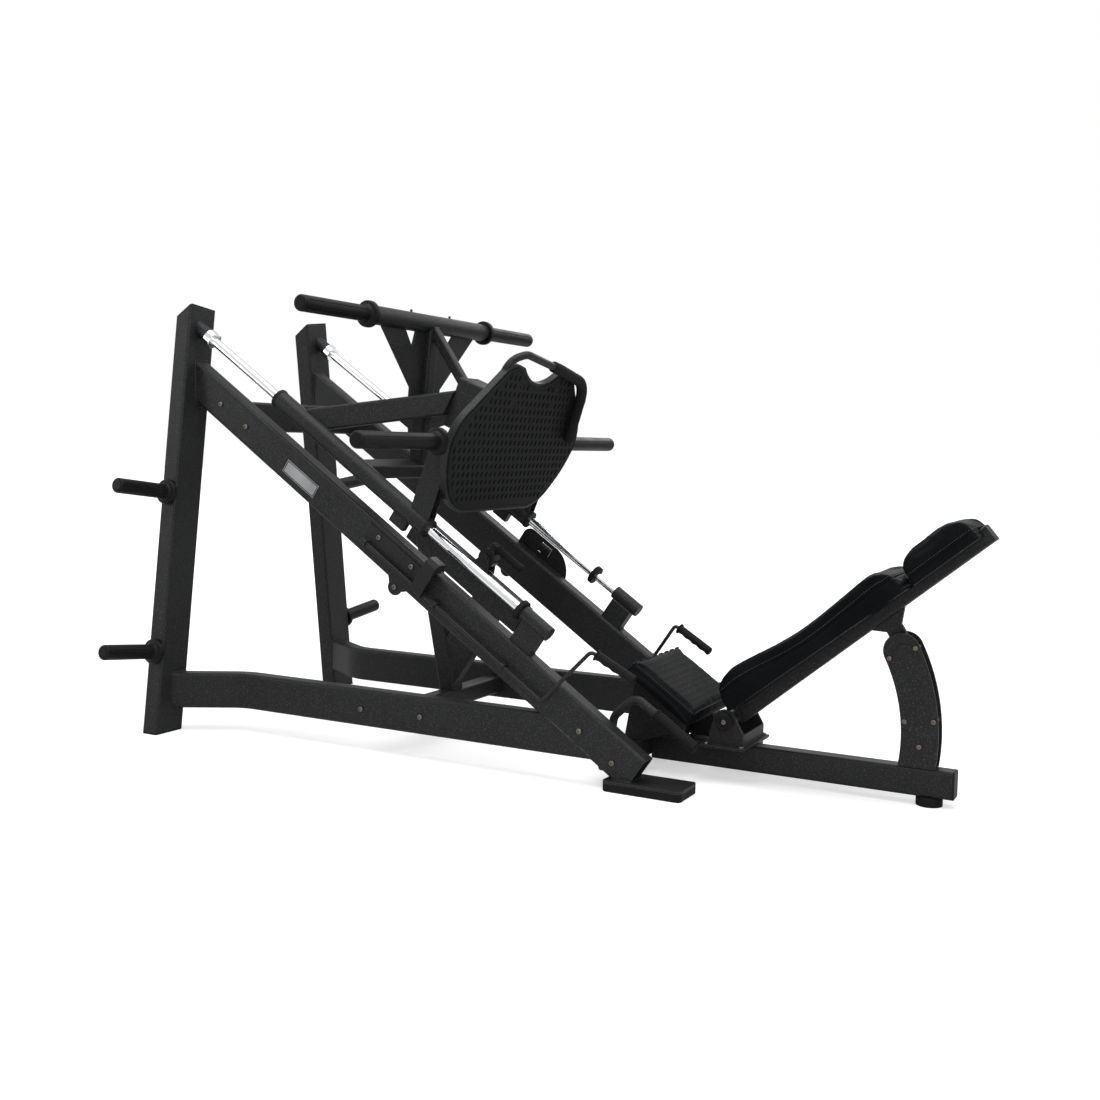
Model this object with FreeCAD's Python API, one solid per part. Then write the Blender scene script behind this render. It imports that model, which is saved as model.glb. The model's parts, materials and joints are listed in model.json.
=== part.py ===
"""Plate-loaded inclined leg press, in millimetres, every piece as its own solid.

A carriage with the foot plate slides on two guide rods that slope down from two leaning posts to
a low seat with an adjustable back rest.  While it is built, x runs from the rear faces of the
posts towards the seat end, y = 0 is the middle plane (left is -y) and z = 0 is the floor.  At the
end everything is moved along x, so that the origin is at the middle of the footprint.
"""
import FreeCAD, Part
import math
import os

V = FreeCAD.Vector
X_AXIS = V(1, 0, 0)
Y_AXIS = V(0, 1, 0)
Z_AXIS = V(0, 0, 1)

# ---- driving dimensions ----------------------------------------------------------------------
WALL = 3.0                 # wall of the steel tubes
GAP = 0.05                 # radial running clearance of shafts in their bores

POST_HEIGHT = 1450.0       # along the leaning post, to the front edge of its top
POST_DEPTH = 65.0          # along x
POST_WIDTH = 120.0         # across
POST_FOOT_Y = 480.0        # middle of the post at the floor
POST_LEAN = 7.0            # degrees, tops lean inwards
POST_TOP_TILT = 35.0       # degrees, slope of the post's top

SLOPE = 34.3               # degrees, slope of rods and rails
ROD_HEIGHT = 1413.5        # height of the rod axis above the rear faces of the posts
ROD_Y = 320.0
ROD_RADIUS = 15.0
ROD_START, ROD_END = 92.0, 1738.0

RAIL_Y = 315.0
RAIL_WIDTH = 60.0
RAIL_HEIGHT = 116.0
RAIL_DROP = 147.5          # from rod axis to rail axis, square to the rods

BASE_RAIL_HEIGHT = 120.0
BASE_RAIL_Z = 140.0
BASE_RAIL_START_Y = 432.0
BASE_BEND_X = 262.0

FOOT_Y = 300.0             # front feet
FOOT_LENGTH, FOOT_WIDTH = 245.0, 128.0
FOOT_X = 1638.0
FOOT_PAD, FOOT_STEEL = 24.0, 8.0

HOUSING_START, HOUSING_END = 508.0, 1212.0
HOUSING_RADIUS = 30.0
BUSH_RADIUS = 24.0
BUSH_LENGTH = 80.0
WIPER_THICKNESS = 12.0

HORN_RADIUS = 20.0         # steel core of a plate horn
SLEEVE_RADIUS = 25.0       # plate horns take plates with a 50 mm bore
COLLAR_RADIUS = 42.0
TOP_HORN = V(791, 0, 1391)
TOP_HORN_REACH = 675.0
TOP_COLLAR_Y = 336.0
SIDE_HORN = V(1086, 0, 998)
SIDE_HORN_REACH = 798.0
SIDE_COLLAR_Y = 385.0
STORAGE_LENGTH = 228.0

PLATE_ORIGIN = V(1140, 0, 1000)
PLATE_TILT = 21.7          # degrees from upright, top towards the seat
PLATE_THICKNESS = 6.0
PLATE_RIM = 22.0
MAT_THICKNESS = 6.0

LEVER_Y = 362.0            # release shafts, on the outer faces of the rails
LEVER_DROP = 161.0         # from rod axis to release shaft, square to the rods
LEVER_RADIUS = 6.0

SEAT_FRONT = V(1644, 0, 356)
SEAT_LENGTH, SEAT_WIDTH, SEAT_THICKNESS = 252.0, 368.0, 50.0
SEAT_PAN = 8.0             # thickness of the pan under the seat

PIVOT = V(1910, 0, 185)    # back rest pivot
BACK_ANGLE = 39.9          # degrees, lowest position of the back rest
BACK_TUBE_WIDTH, BACK_TUBE_HEIGHT = 60.0, 50.0
BACK_TUBE_DROP = 30.0      # from pivot to underside of the tube
BACK_TUBE_END = 923.0
BACK_TUBE_TOP = BACK_TUBE_HEIGHT - BACK_TUBE_DROP
PAD_SEAT = 2.0             # thickness of the seats between tube and pads
AXLE_RADIUS = 10.0
CHEEK_Y = 86.0             # inner faces of the bracket's cheeks

SECTOR_INNER, SECTOR_OUTER = 498.0, 601.0
ARM_INNER, ARM_OUTER = 532.0, 580.0
PIN_R, PIN_ANGLE = 556.0, 26.1
PIN_RADIUS = 6.0
HOLE_STEP = 5.0            # degrees between two holes of the adjuster arm

BEAM_WIDTH, BEAM_HEIGHT = 60.0, 80.0
BEAM_Z = 26.0              # underside of the centre beam
BEAM_END = 2553.0
CROSS_X = 1590.0           # front cross member, its rear face
CROSS_TOP = 98.0

# directions of the slope: down along the rods, and square to them, upwards
DOWN = V(math.cos(math.radians(SLOPE)), 0, -math.sin(math.radians(SLOPE)))
OUT = V(math.sin(math.radians(SLOPE)), 0, math.cos(math.radians(SLOPE)))


# ---- helpers ---------------------------------------------------------------------------------
def on_slope(along, y, out):
    """Point at a distance along the rods, and square out from the rod axis."""
    return V(0, y, ROD_HEIGHT) + DOWN * along + OUT * out


def on_plate(y, up, front):
    """Point in the foot plate's own axes: up along the plate, front towards the seat."""
    tilt = math.radians(PLATE_TILT)
    up_axis = V(math.sin(tilt), 0, math.cos(tilt))
    front_axis = V(math.cos(tilt), 0, -math.sin(tilt))
    return PLATE_ORIGIN + V(0, y, 0) + up_axis * up + front_axis * front


def on_back(along, y, up):
    """Point in the back rest's own axes: along the tube from the pivot, up square to it."""
    angle = math.radians(BACK_ANGLE)
    along_axis = V(math.cos(angle), 0, math.sin(angle))
    up_axis = V(-math.sin(angle), 0, math.cos(angle))
    return PIVOT + V(0, y, 0) + along_axis * along + up_axis * up


def around_pivot(radius, degrees, y):
    """Point on a circle round the back rest's pivot."""
    angle = math.radians(degrees)
    return PIVOT + V(radius * math.cos(angle), y, radius * math.sin(angle))


def rod(start, end, radius):
    """Round bar from start to end."""
    return Part.makeCylinder(radius, (end - start).Length, start, end - start)


def pipe(start, end, radius, bore):
    """Round tube from start to end."""
    return rod(start, end, radius).cut(rod(start, end, bore))


def frame_of(origin, along, up):
    """Placement whose x runs along `along` and whose z is as near `up` as it can be."""
    x = V(along).normalize()
    y = V(up.cross(x)).normalize()
    z = x.cross(y)
    matrix = FreeCAD.Matrix(x.x, y.x, z.x, origin.x,
                            x.y, y.y, z.y, origin.y,
                            x.z, y.z, z.z, origin.z,
                            0, 0, 0, 1)
    return FreeCAD.Placement(matrix)


def rounded_face(width, height, radius):
    """Rectangle in the y-z plane with rounded corners, centred on the x axis."""
    w, h, k = width / 2, height / 2, radius * (1 - math.sqrt(0.5))
    corners = []
    for sy, sz in ((1, 1), (-1, 1), (-1, -1), (1, -1)):
        first = V(0, sy * w, sz * (h - radius))
        second = V(0, sy * (w - radius), sz * h)
        middle = V(0, sy * (w - k), sz * (h - k))
        corners.append((first, middle, second) if sy * sz > 0 else (second, middle, first))
    edges = []
    for index, (first, middle, second) in enumerate(corners):
        edges.append(Part.Arc(first, middle, second).toShape())
        edges.append(Part.makeLine(second, corners[(index + 1) % 4][0]))
    return Part.Face(Part.Wire(edges))


def bar(start, end, width, height, radius=10.0, up=Z_AXIS):
    """Solid bar with rounded long edges; width lies across, height lies along `up`."""
    shape = rounded_face(width, height, radius).extrude(V((end - start).Length, 0, 0))
    shape.Placement = frame_of(start, end - start, up)
    return shape


def hollow(start, end, width, height, radius=10.0, up=Z_AXIS, wall=WALL):
    """Rectangular tube, open at both ends."""
    inner = bar(start, end, width - 2 * wall, height - 2 * wall, radius - wall, up)
    return bar(start, end, width, height, radius, up).cut(inner)


def box(low, high):
    """Upright block between two corners."""
    size = high - low
    return Part.makeBox(size.x, size.y, size.z, low)


def plate(points, depth):
    """Flat plate: a closed outline, extruded by the vector depth."""
    outline = Part.makePolygon(points + [points[0]])
    return Part.Face(outline).extrude(depth)


def bent_tube(points, radius, bends):
    """Round bar along straight stretches, with a bend of its own radius at each corner."""
    edges = []
    start = points[0]
    for before, corner, after, bend in zip(points, points[1:], points[2:], bends):
        back = (before - corner).normalize()
        forward = (after - corner).normalize()
        half = back.getAngle(forward) / 2
        first = corner + back * (bend / math.tan(half))
        last = corner + forward * (bend / math.tan(half))
        middle = corner + (back + forward).normalize() * (bend / math.sin(half) - bend)
        edges.append(Part.makeLine(start, first))
        edges.append(Part.Arc(first, middle, last).toShape())
        start = last
    edges.append(Part.makeLine(start, points[-1]))
    profile = Part.Wire(Part.makeCircle(radius, points[0], points[1] - points[0]))
    return Part.Wire(edges).makePipeShell([profile], True, False)


def mirrored(shape):
    """The same piece on the other side of the middle plane."""
    return shape.mirror(V(0, 0, 0), Y_AXIS)


def pair(right):
    """Right and left piece as two separate solids."""
    return Part.makeCompound([right, mirrored(right)])


def group(shapes):
    """Several separate solids in one node."""
    return Part.makeCompound(shapes)


def biggest(shape):
    """The largest solid that a cut has left."""
    return max(shape.Solids, key=lambda solid: solid.Volume)


def turned(profile, origin, axis):
    """Solid of revolution: profile holds (distance along the axis, radius) points."""
    points = [V(along, 0, radius) for along, radius in profile]
    face = Part.Face(Part.makePolygon(points + [points[0]]))
    shape = face.revolve(V(0, 0, 0), X_AXIS, 360)
    side = Y_AXIS if abs(V(axis).normalize().z) > 0.9 else Z_AXIS
    shape.Placement = frame_of(origin, axis, side)
    return shape


def bolt_head(centre, axis, radius=8.5, height=5.5):
    """Button head with a hexagon socket, standing on a face."""
    axis = V(axis).normalize()
    head = Part.makeCylinder(radius, height, centre, axis)
    rim = [edge for edge in head.Edges if (edge.CenterOfMass - centre).dot(axis) > height * 0.9]
    head = head.makeFillet(height * 0.5, rim[:1])
    hexagon = [V(0, radius * 0.5 * math.cos(turn), radius * 0.5 * math.sin(turn))
               for turn in [math.radians(60 * step) for step in range(6)]]
    socket = plate(hexagon, V(height, 0, 0))
    side = Y_AXIS if abs(axis.z) > 0.9 else Z_AXIS
    socket.Placement = frame_of(centre + axis * (height * 0.45), axis, side)
    return head.cut(socket)


# ---- frame -----------------------------------------------------------------------------------
def lean_right(shape):
    """Tilt an upright piece, built at the right post's foot, so that its top leans inwards."""
    return shape.rotated(V(0, POST_FOOT_Y, 0), X_AXIS, POST_LEAN)


def post_block(width, depth, radius, grow=0.0):
    """Solid right post, cut square to the floor and sloping at its top."""
    start = V(POST_DEPTH / 2, POST_FOOT_Y, -60)
    end = V(POST_DEPTH / 2, POST_FOOT_Y, POST_HEIGHT + 60)
    block = bar(start, end, width, depth, radius, X_AXIS)
    rise = math.tan(math.radians(POST_TOP_TILT))
    reach = 200.0
    front, back = POST_DEPTH + reach, -reach
    top = [V(front, POST_FOOT_Y - 150, POST_HEIGHT + grow + reach * rise),
           V(back, POST_FOOT_Y - 150, POST_HEIGHT + grow - (POST_DEPTH + reach) * rise),
           V(back, POST_FOOT_Y - 150, POST_HEIGHT + 400),
           V(front, POST_FOOT_Y - 150, POST_HEIGHT + 400)]
    return lean_right(block.cut(plate(top, V(0, 300, 0))))


FLOOR_CUT = box(V(-200, -900, -300), V(3000, 900, 0))
POST_SOLE = 8.0            # plastic sole under each post


def post_outer():
    """Outside of the right post, from the top of its sole."""
    below = box(V(-200, -900, -300), V(3000, 900, POST_SOLE))
    return post_block(POST_WIDTH, POST_DEPTH, 8.0).cut(below)


def right_post():
    inner = post_block(POST_WIDTH - 2 * WALL, POST_DEPTH - 2 * WALL, 5.0, 100.0)
    return post_outer().cut(inner)


def post_top_cap():
    """Plastic cap that follows the sloping top of the post."""
    body = post_block(POST_WIDTH, POST_DEPTH, 8.0, 5.0)
    return body.cut(post_block(POST_WIDTH + 2, POST_DEPTH + 2, 8.0))


def post_sole():
    sole = post_block(POST_WIDTH, POST_DEPTH, 8.0).cut(FLOOR_CUT)
    return sole.common(box(V(-200, -900, 0), V(300, 900, POST_SOLE)))


def rail_outer():
    """Outside of the right main rail, between the post and the front foot."""
    block = bar(on_slope(20, RAIL_Y, -RAIL_DROP), on_slope(2200, RAIL_Y, -RAIL_DROP),
                RAIL_WIDTH, RAIL_HEIGHT, 12.0, OUT)
    below = box(V(-200, -900, -900), V(3000, 900, FOOT_PAD + FOOT_STEEL))
    behind = box(V(-200, -900, -900), V(POST_DEPTH, 900, 3000))
    return block.cut(below).cut(behind)


def right_rail():
    inner = bar(on_slope(0, RAIL_Y, -RAIL_DROP), on_slope(2300, RAIL_Y, -RAIL_DROP),
                RAIL_WIDTH - 2 * WALL, RAIL_HEIGHT - 2 * WALL, 9.0, OUT)
    return rail_outer().cut(inner)


def base_rail_path(inset):
    """Bent bar from the post inwards to the line of the main rail."""
    width = RAIL_WIDTH - 2 * inset
    height = BASE_RAIL_HEIGHT - 2 * inset
    bend_radius = 160.0
    start = V(POST_DEPTH - 60, BASE_RAIL_START_Y + 36, BASE_RAIL_Z)
    corner = V(BASE_BEND_X, RAIL_Y, BASE_RAIL_Z)
    end = V(1760, RAIL_Y, BASE_RAIL_Z)
    back = (start - corner).normalize()
    forward = (end - corner).normalize()
    half = back.getAngle(forward) / 2
    first = corner + back * (bend_radius / math.tan(half))
    last = corner + forward * (bend_radius / math.tan(half))
    middle = corner + (back + forward).normalize() * (bend_radius / math.sin(half) - bend_radius)
    path = Part.Wire([Part.makeLine(start, first), Part.Arc(first, middle, last).toShape(),
                      Part.makeLine(last, end)])
    profile = rounded_face(width, height, 12.0 - inset)
    profile.Placement = frame_of(start, corner - start, Z_AXIS)
    return path.makePipeShell([profile.OuterWire], True, False)


def right_base_rail():
    behind = box(V(-200, -900, -100), V(POST_DEPTH, 900, 600))
    tube = base_rail_path(0.0).cut(base_rail_path(WALL)).cut(behind)
    above = plate([on_slope(800, 200, -RAIL_DROP), on_slope(2600, 200, -RAIL_DROP),
                   on_slope(2600, 200, 900), on_slope(800, 200, 900)], V(0, 300, 0))
    return biggest(tube.cut(rail_outer()).cut(above))


def foot_outline(z, height):
    """Front foot: a rounded rectangle lying flat."""
    middle = V(FOOT_X + FOOT_LENGTH / 2, FOOT_Y, z)
    return bar(middle, middle + V(0, 0, height), FOOT_WIDTH, FOOT_LENGTH, 14.0, X_AXIS)


def front_foot_plate():
    return foot_outline(FOOT_PAD, FOOT_STEEL)


def front_foot_pad():
    """Rubber pad with a rounded upper edge, glued under the steel foot."""
    pad = foot_outline(0.0, FOOT_PAD)
    return pad.makeChamfer(3.0, [edge for edge in pad.Edges if abs(edge.CenterOfMass.z) < 0.1])


def cross_members():
    """Three tubes that join the two sides: high, low and in front of the beam."""
    inside = RAIL_Y - RAIL_WIDTH / 2
    upper = hollow(V(230, -inside, 1072), V(230, inside, 1072), 60, 100)
    lower = hollow(V(890, -inside, 130), V(890, inside, 130), 60, 60)
    front_x, front_z = CROSS_X + 30, CROSS_TOP - 30
    front = hollow(V(front_x, -inside, front_z), V(front_x, inside, front_z), 60, 60, 8.0)
    return group([upper, lower, front])


STAND_TOP = -120.0         # upper face of the spine, from the rod axis
SPINE_START, SPINE_END = 1010.0, 1525.0
SPINE_WIDTH, SPINE_HEIGHT = 50.0, 94.0
SPINE_DROP = STAND_TOP - SPINE_HEIGHT / 2
LEG_FOOT = V(896, 0, 130)
LEG_TOP = V(782, 0, 700)
BRACE_ALONG = 1392.0


def spine_outer():
    return bar(on_slope(SPINE_START, 0, SPINE_DROP), on_slope(SPINE_END, 0, SPINE_DROP),
               SPINE_WIDTH, SPINE_HEIGHT, 8.0, OUT)


def centre_stand():
    """Spine under the carriage, on a leg that leans back and a brace square to the slope."""
    spine = hollow(on_slope(SPINE_START, 0, SPINE_DROP), on_slope(SPINE_END, 0, SPINE_DROP),
                   SPINE_WIDTH, SPINE_HEIGHT, 8.0, OUT)
    below = box(V(600, -60, -100), V(1200, 60, 160))
    leg = hollow(LEG_FOOT, LEG_TOP, 60, 60, 8.0, X_AXIS)
    leg = biggest(leg.cut(spine_outer()).cut(below))
    brace = hollow(on_slope(BRACE_ALONG, 0, -640), on_slope(BRACE_ALONG, 0, SPINE_DROP),
                   50, 115, 8.0, DOWN)
    brace = brace.cut(bar(LEG_FOOT, LEG_TOP, 60, 60, 8.0, X_AXIS))
    brace = biggest(brace.cut(spine_outer()).cut(below))
    return group([spine, leg, brace])


def beam_outer():
    middle = BEAM_Z + BEAM_HEIGHT / 2
    return bar(V(CROSS_X + 60, 0, middle), V(BEAM_END, 0, middle), BEAM_WIDTH, BEAM_HEIGHT, 10.0)


def centre_beam():
    middle = BEAM_Z + BEAM_HEIGHT / 2
    return hollow(V(CROSS_X + 60, 0, middle), V(BEAM_END, 0, middle), BEAM_WIDTH, BEAM_HEIGHT, 10.0)


def beam_cap():
    middle = V(BEAM_END, 0, BEAM_Z + BEAM_HEIGHT / 2)
    lid = bar(middle, middle + V(6, 0, 0), BEAM_WIDTH, BEAM_HEIGHT, 10.0)
    return lid.makeFillet(3.0, [edge for edge in lid.Edges if edge.BoundBox.XMin > BEAM_END + 5.9])


def tube_caps():
    """Plastic caps on the posts and on the beam, and the soles under the posts."""
    top, sole = post_top_cap(), post_sole()
    return group([top, mirrored(top), sole, mirrored(sole), beam_cap()])


def beam_foot():
    """Round rubber foot under the front end of the beam."""
    foot = Part.makeCylinder(37.0, BEAM_Z, V(BEAM_END - 65, 0, 0))
    top = [edge for edge in foot.Edges if edge.BoundBox.ZMin > BEAM_Z - 0.1]
    return foot.makeChamfer(5.0, top[:1])


# ---- guide rods ------------------------------------------------------------------------------
def guide_rods():
    return pair(rod(on_slope(ROD_START, ROD_Y, 0), on_slope(ROD_END, ROD_Y, 0), ROD_RADIUS))


def rod_sockets():
    """Upper sockets on the posts, and lower sockets on blocks that stand on the rails."""
    upper = rod(on_slope(20, ROD_Y, 0), on_slope(124, ROD_Y, 0), 23.0)
    upper = biggest(upper.cut(box(V(-300, 0, 900), V(POST_DEPTH, 900, 1700))))
    shaft = rod(on_slope(ROD_START, ROD_Y, 0), on_slope(ROD_END, ROD_Y, 0), ROD_RADIUS)
    upper = upper.cut(shaft)
    lower = rod(on_slope(1634, ROD_Y, 0), on_slope(1742, ROD_Y, 0), 23.0)
    block = bar(on_slope(1647, RAIL_Y, -55), on_slope(1727, RAIL_Y, -55), 40, 80, 6.0, OUT)
    lower = lower.fuse(block).cut(rail_outer()).cut(shaft).removeSplitter()
    return group([upper, mirrored(upper), lower, mirrored(lower)])


def collar_half(side):
    """One half of a clamping collar on a guide rod."""
    start, end = on_slope(128, ROD_Y, 0), on_slope(158, ROD_Y, 0)
    ring = pipe(start, end, 28.0, ROD_RADIUS)
    edges = [edge for edge in ring.Edges if edge.Length > 150]
    ring = ring.makeChamfer(1.5, edges[:2])
    split = bar(start - DOWN, end + DOWN, 70, 70, 1.0, OUT)
    split.translate(OUT * (side * 35.6))
    return biggest(ring.common(split))


def shaft_collars():
    halves = [collar_half(1), collar_half(-1)]
    return group(halves + [mirrored(half) for half in halves])


def bumper_ring(along, y):
    """Loose rubber ring on a guide rod, above its lower socket."""
    start, end = on_slope(along, y, 0), on_slope(along + 18, y, 0)
    ring = pipe(start, end, 33.0, ROD_RADIUS)
    outer = [edge for edge in ring.Edges if edge.Length > 200]
    return ring.makeFillet(4.0, outer)


def rod_bumpers():
    return group([bumper_ring(1615, -ROD_Y), bumper_ring(1530, ROD_Y)])


# ---- plate horns -----------------------------------------------------------------------------
def sleeve(root, axis, length):
    """Moulded sleeve: flared collar, eight fine grooves and a closed rounded end."""
    axis = V(axis).normalize()
    end_radius = 9.0
    shoulder = length - end_radius
    outline = [(0, HORN_RADIUS), (0, COLLAR_RADIUS - 3), (3, COLLAR_RADIUS),
               (15, COLLAR_RADIUS), (19, COLLAR_RADIUS - 3), (22, SLEEVE_RADIUS + 6),
               (27, SLEEVE_RADIUS + 1.5), (34, SLEEVE_RADIUS), (shoulder, SLEEVE_RADIUS)]
    for step in range(1, 7):
        turn = math.radians(15 * step)
        outline.append((shoulder + end_radius * math.sin(turn),
                        SLEEVE_RADIUS - end_radius * (1 - math.cos(turn))))
    outline += [(length, 0), (length - 8, 0), (length - 8, HORN_RADIUS)]
    body = turned(outline, root, axis)
    side = axis.cross(X_AXIS).normalize()
    for step in range(8):
        lean = FreeCAD.Rotation(axis, 45 * step + 22.5).multVec(side)
        centre = root + lean * (SLEEVE_RADIUS + 0.4)
        body = body.cut(rod(centre + axis * 36, centre + axis * (shoulder - 6), 1.8))
    return body


def storage_axis():
    lean = math.radians(POST_LEAN)
    return V(0, math.cos(lean), math.sin(lean))


def storage_roots():
    """Points on the outer face of the right post, below and above."""
    roots = []
    for height in (272.0, 812.0):
        face = V(POST_DEPTH / 2, POST_FOOT_Y + POST_WIDTH / 2, height)
        roots.append(FreeCAD.Rotation(X_AXIS, POST_LEAN).multVec(face - V(0, POST_FOOT_Y, 0))
                     + V(0, POST_FOOT_Y, 0))
    return roots


def storage_horns():
    """Steel cores of the storage horns, welded to the posts."""
    axis = storage_axis()
    horns = [rod(root, root + axis * (STORAGE_LENGTH - 8), HORN_RADIUS) for root in storage_roots()]
    return group(horns + [mirrored(horn) for horn in horns])


def storage_sleeves():
    axis = storage_axis()
    sleeves = [sleeve(root, axis, STORAGE_LENGTH) for root in storage_roots()]
    return group(sleeves + [mirrored(item) for item in sleeves])


# ---- carriage --------------------------------------------------------------------------------
def housing_outer():
    return rod(on_slope(HOUSING_START, ROD_Y, 0), on_slope(HOUSING_END, ROD_Y, 0), HOUSING_RADIUS)


def bearing_housings():
    bore = rod(on_slope(HOUSING_START, ROD_Y, 0), on_slope(HOUSING_END, ROD_Y, 0), BUSH_RADIUS)
    block = bar(on_slope(1086, RAIL_Y + 3, -44), on_slope(1146, RAIL_Y + 3, -44), 26, 40, 5.0, OUT)
    return pair(housing_outer().fuse(block).cut(bore).removeSplitter())


def linear_bushings():
    """A bush near each end of both housings."""
    bushes = []
    for start in (HOUSING_START + 4, HOUSING_END - 4 - BUSH_LENGTH):
        bush = pipe(on_slope(start, ROD_Y, 0), on_slope(start + BUSH_LENGTH, ROD_Y, 0),
                    BUSH_RADIUS, ROD_RADIUS + GAP)
        bushes += [bush, mirrored(bush)]
    return group(bushes)


def rod_wipers():
    """Wiper ring on each end of both housings."""
    rings = []
    for start in (HOUSING_START - WIPER_THICKNESS, HOUSING_END):
        ring = pipe(on_slope(start, ROD_Y, 0), on_slope(start + WIPER_THICKNESS, ROD_Y, 0),
                    32.0, ROD_RADIUS + GAP)
        ring = ring.makeFillet(2.5, [edge for edge in ring.Edges if edge.Length > 195])
        rings += [ring, mirrored(ring)]
    return group(rings)


def bracket_outer():
    """Box behind the foot plate that the arms lead to."""
    return bar(on_plate(0, 39, -253), on_plate(0, 39, -PLATE_THICKNESS), 120, 170, 8.0,
               on_plate(0, 1, 0) - PLATE_ORIGIN)


def foot_plate_bracket():
    up = on_plate(0, 1, 0) - PLATE_ORIGIN
    body = hollow(on_plate(0, 39, -245), on_plate(0, 39, -PLATE_THICKNESS), 120, 170, 8.0, up, 5.0)
    back = bar(on_plate(0, 39, -253), on_plate(0, 39, -245), 120, 170, 8.0, up)
    return body.fuse(back).cut(side_bar_outer()).removeSplitter()


def side_bar_outer():
    return rod(SIDE_HORN - Y_AXIS * SIDE_COLLAR_Y, SIDE_HORN + Y_AXIS * SIDE_COLLAR_Y, 24.0)


def carriage_arms():
    """Two tubes that run from the upper ends of the housings to the box behind the plate."""
    start = V(520, ROD_Y - 22, 1060)
    end = V(938, 36, 1130)
    arm = hollow(start, end, 46, 76, 8.0)
    behind = plate([on_plate(0, -300, -253), on_plate(0, 300, -253),
                    on_plate(0, 300, 400), on_plate(0, -300, 400)], V(0, 500, 0))
    middle = box(V(0, -100, 0), V(2000, 0, 2000))
    arm = biggest(arm.cut(housing_outer()).cut(behind).cut(middle))
    return pair(arm)


MAST_FOOT = V(745, 0, 905)


def cross_tube_outer():
    return bar(V(745, -ROD_Y, 905.3), V(745, ROD_Y, 905.3), 50, 50, 8.0, OUT)


def carriage_cross_tube():
    tube = hollow(V(745, -ROD_Y, 905.3), V(745, ROD_Y, 905.3), 50, 50, 8.0, OUT)
    return biggest(tube.cut(housing_outer()).cut(mirrored(housing_outer())))


def mast_outer():
    return bar(MAST_FOOT, TOP_HORN, 50, 50, 8.0, X_AXIS)


def horn_mast():
    tube = hollow(MAST_FOOT, TOP_HORN, 50, 50, 8.0, X_AXIS)
    return biggest(tube.cut(cross_tube_outer()).cut(top_bar_outer()))


def top_bar_outer():
    return rod(TOP_HORN - Y_AXIS * TOP_COLLAR_Y, TOP_HORN + Y_AXIS * TOP_COLLAR_Y, 30.0)


def mast_gussets():
    """Plates with a small window that brace the top bar from the mast and stand on the arms."""
    up = V(TOP_HORN - MAST_FOOT).normalize()
    front = V(up.cross(Y_AXIS) * -1).normalize()

    def point(y, z):
        return MAST_FOOT + up * ((z - MAST_FOOT.z) / up.z) + V(0, y, 0) - front * 4

    outline = [point(20, 1391), point(285, 1391), point(269, 1358), point(88, 1176),
               point(88, 1120), point(20, 1120)]
    window = [point(82, 1360), point(140, 1360), point(96, 1306)]
    web = plate(outline, front * 8).cut(plate(window, front * 8))
    arm = bar(V(520, ROD_Y - 22, 1060), V(938, 36, 1130), 46, 76, 8.0)
    web = biggest(web.cut(mast_outer()).cut(top_bar_outer()).cut(arm))
    return pair(web)


def mast_brace():
    """Diagonal tube from the top of the mast to the box behind the plate."""
    tube = hollow(V(806, 0, 1373), V(960, 0, 1147), 32, 32, 6.0, X_AXIS)
    return biggest(tube.cut(mast_outer()).cut(top_bar_outer()).cut(bracket_outer()))


def top_horn_bar():
    """Bar across the top: a wide middle tube, and a core for each sleeve."""
    tube = pipe(TOP_HORN - Y_AXIS * TOP_COLLAR_Y, TOP_HORN + Y_AXIS * TOP_COLLAR_Y,
                30.0, HORN_RADIUS)
    reach = TOP_HORN_REACH - 8
    core = rod(TOP_HORN - Y_AXIS * reach, TOP_HORN + Y_AXIS * reach, HORN_RADIUS)
    pins = [rod(TOP_HORN + V(0, y, 20), TOP_HORN + V(0, y, 38), 4.0) for y in (-110, 120)]
    return tube.fuse([core] + pins).removeSplitter()


def side_horn_bar():
    reach = SIDE_HORN_REACH - 8
    core = rod(SIDE_HORN - Y_AXIS * reach, SIDE_HORN + Y_AXIS * reach, HORN_RADIUS)
    tube = pipe(SIDE_HORN - Y_AXIS * SIDE_COLLAR_Y, SIDE_HORN + Y_AXIS * SIDE_COLLAR_Y,
                24.0, HORN_RADIUS)
    return tube.fuse(core).removeSplitter()


def horn_sleeves():
    top = sleeve(TOP_HORN + Y_AXIS * TOP_COLLAR_Y, Y_AXIS, TOP_HORN_REACH - TOP_COLLAR_Y)
    side = sleeve(SIDE_HORN + Y_AXIS * SIDE_COLLAR_Y, Y_AXIS, SIDE_HORN_REACH - SIDE_COLLAR_Y)
    return group([top, mirrored(top), side, mirrored(side)])


def carriage_struts():
    """Tapered struts from the lower ends of the housings up to the side horn bar."""
    def outline(inset, y):
        return [V(940 + inset, y, 760), V(1018 + inset, y, 975 - 0.4 * inset),
                V(1064 - inset, y, 985 - 0.4 * inset), V(1052 - inset, y, 730)]

    depth = 40.0
    outer = plate(outline(0, 298), V(0, depth, 0))
    inner = plate(outline(4, 302), V(0, depth - 8, 0))
    front = plate([on_plate(0, -400, -PLATE_RIM - 3), on_plate(0, -400, 300),
                   on_plate(0, 300, 300), on_plate(0, 300, -PLATE_RIM - 3)], V(0, 500, 0))
    strut = outer.cut(inner).cut(housing_outer()).cut(side_bar_outer()).cut(front)
    return pair(biggest(strut))


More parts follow.
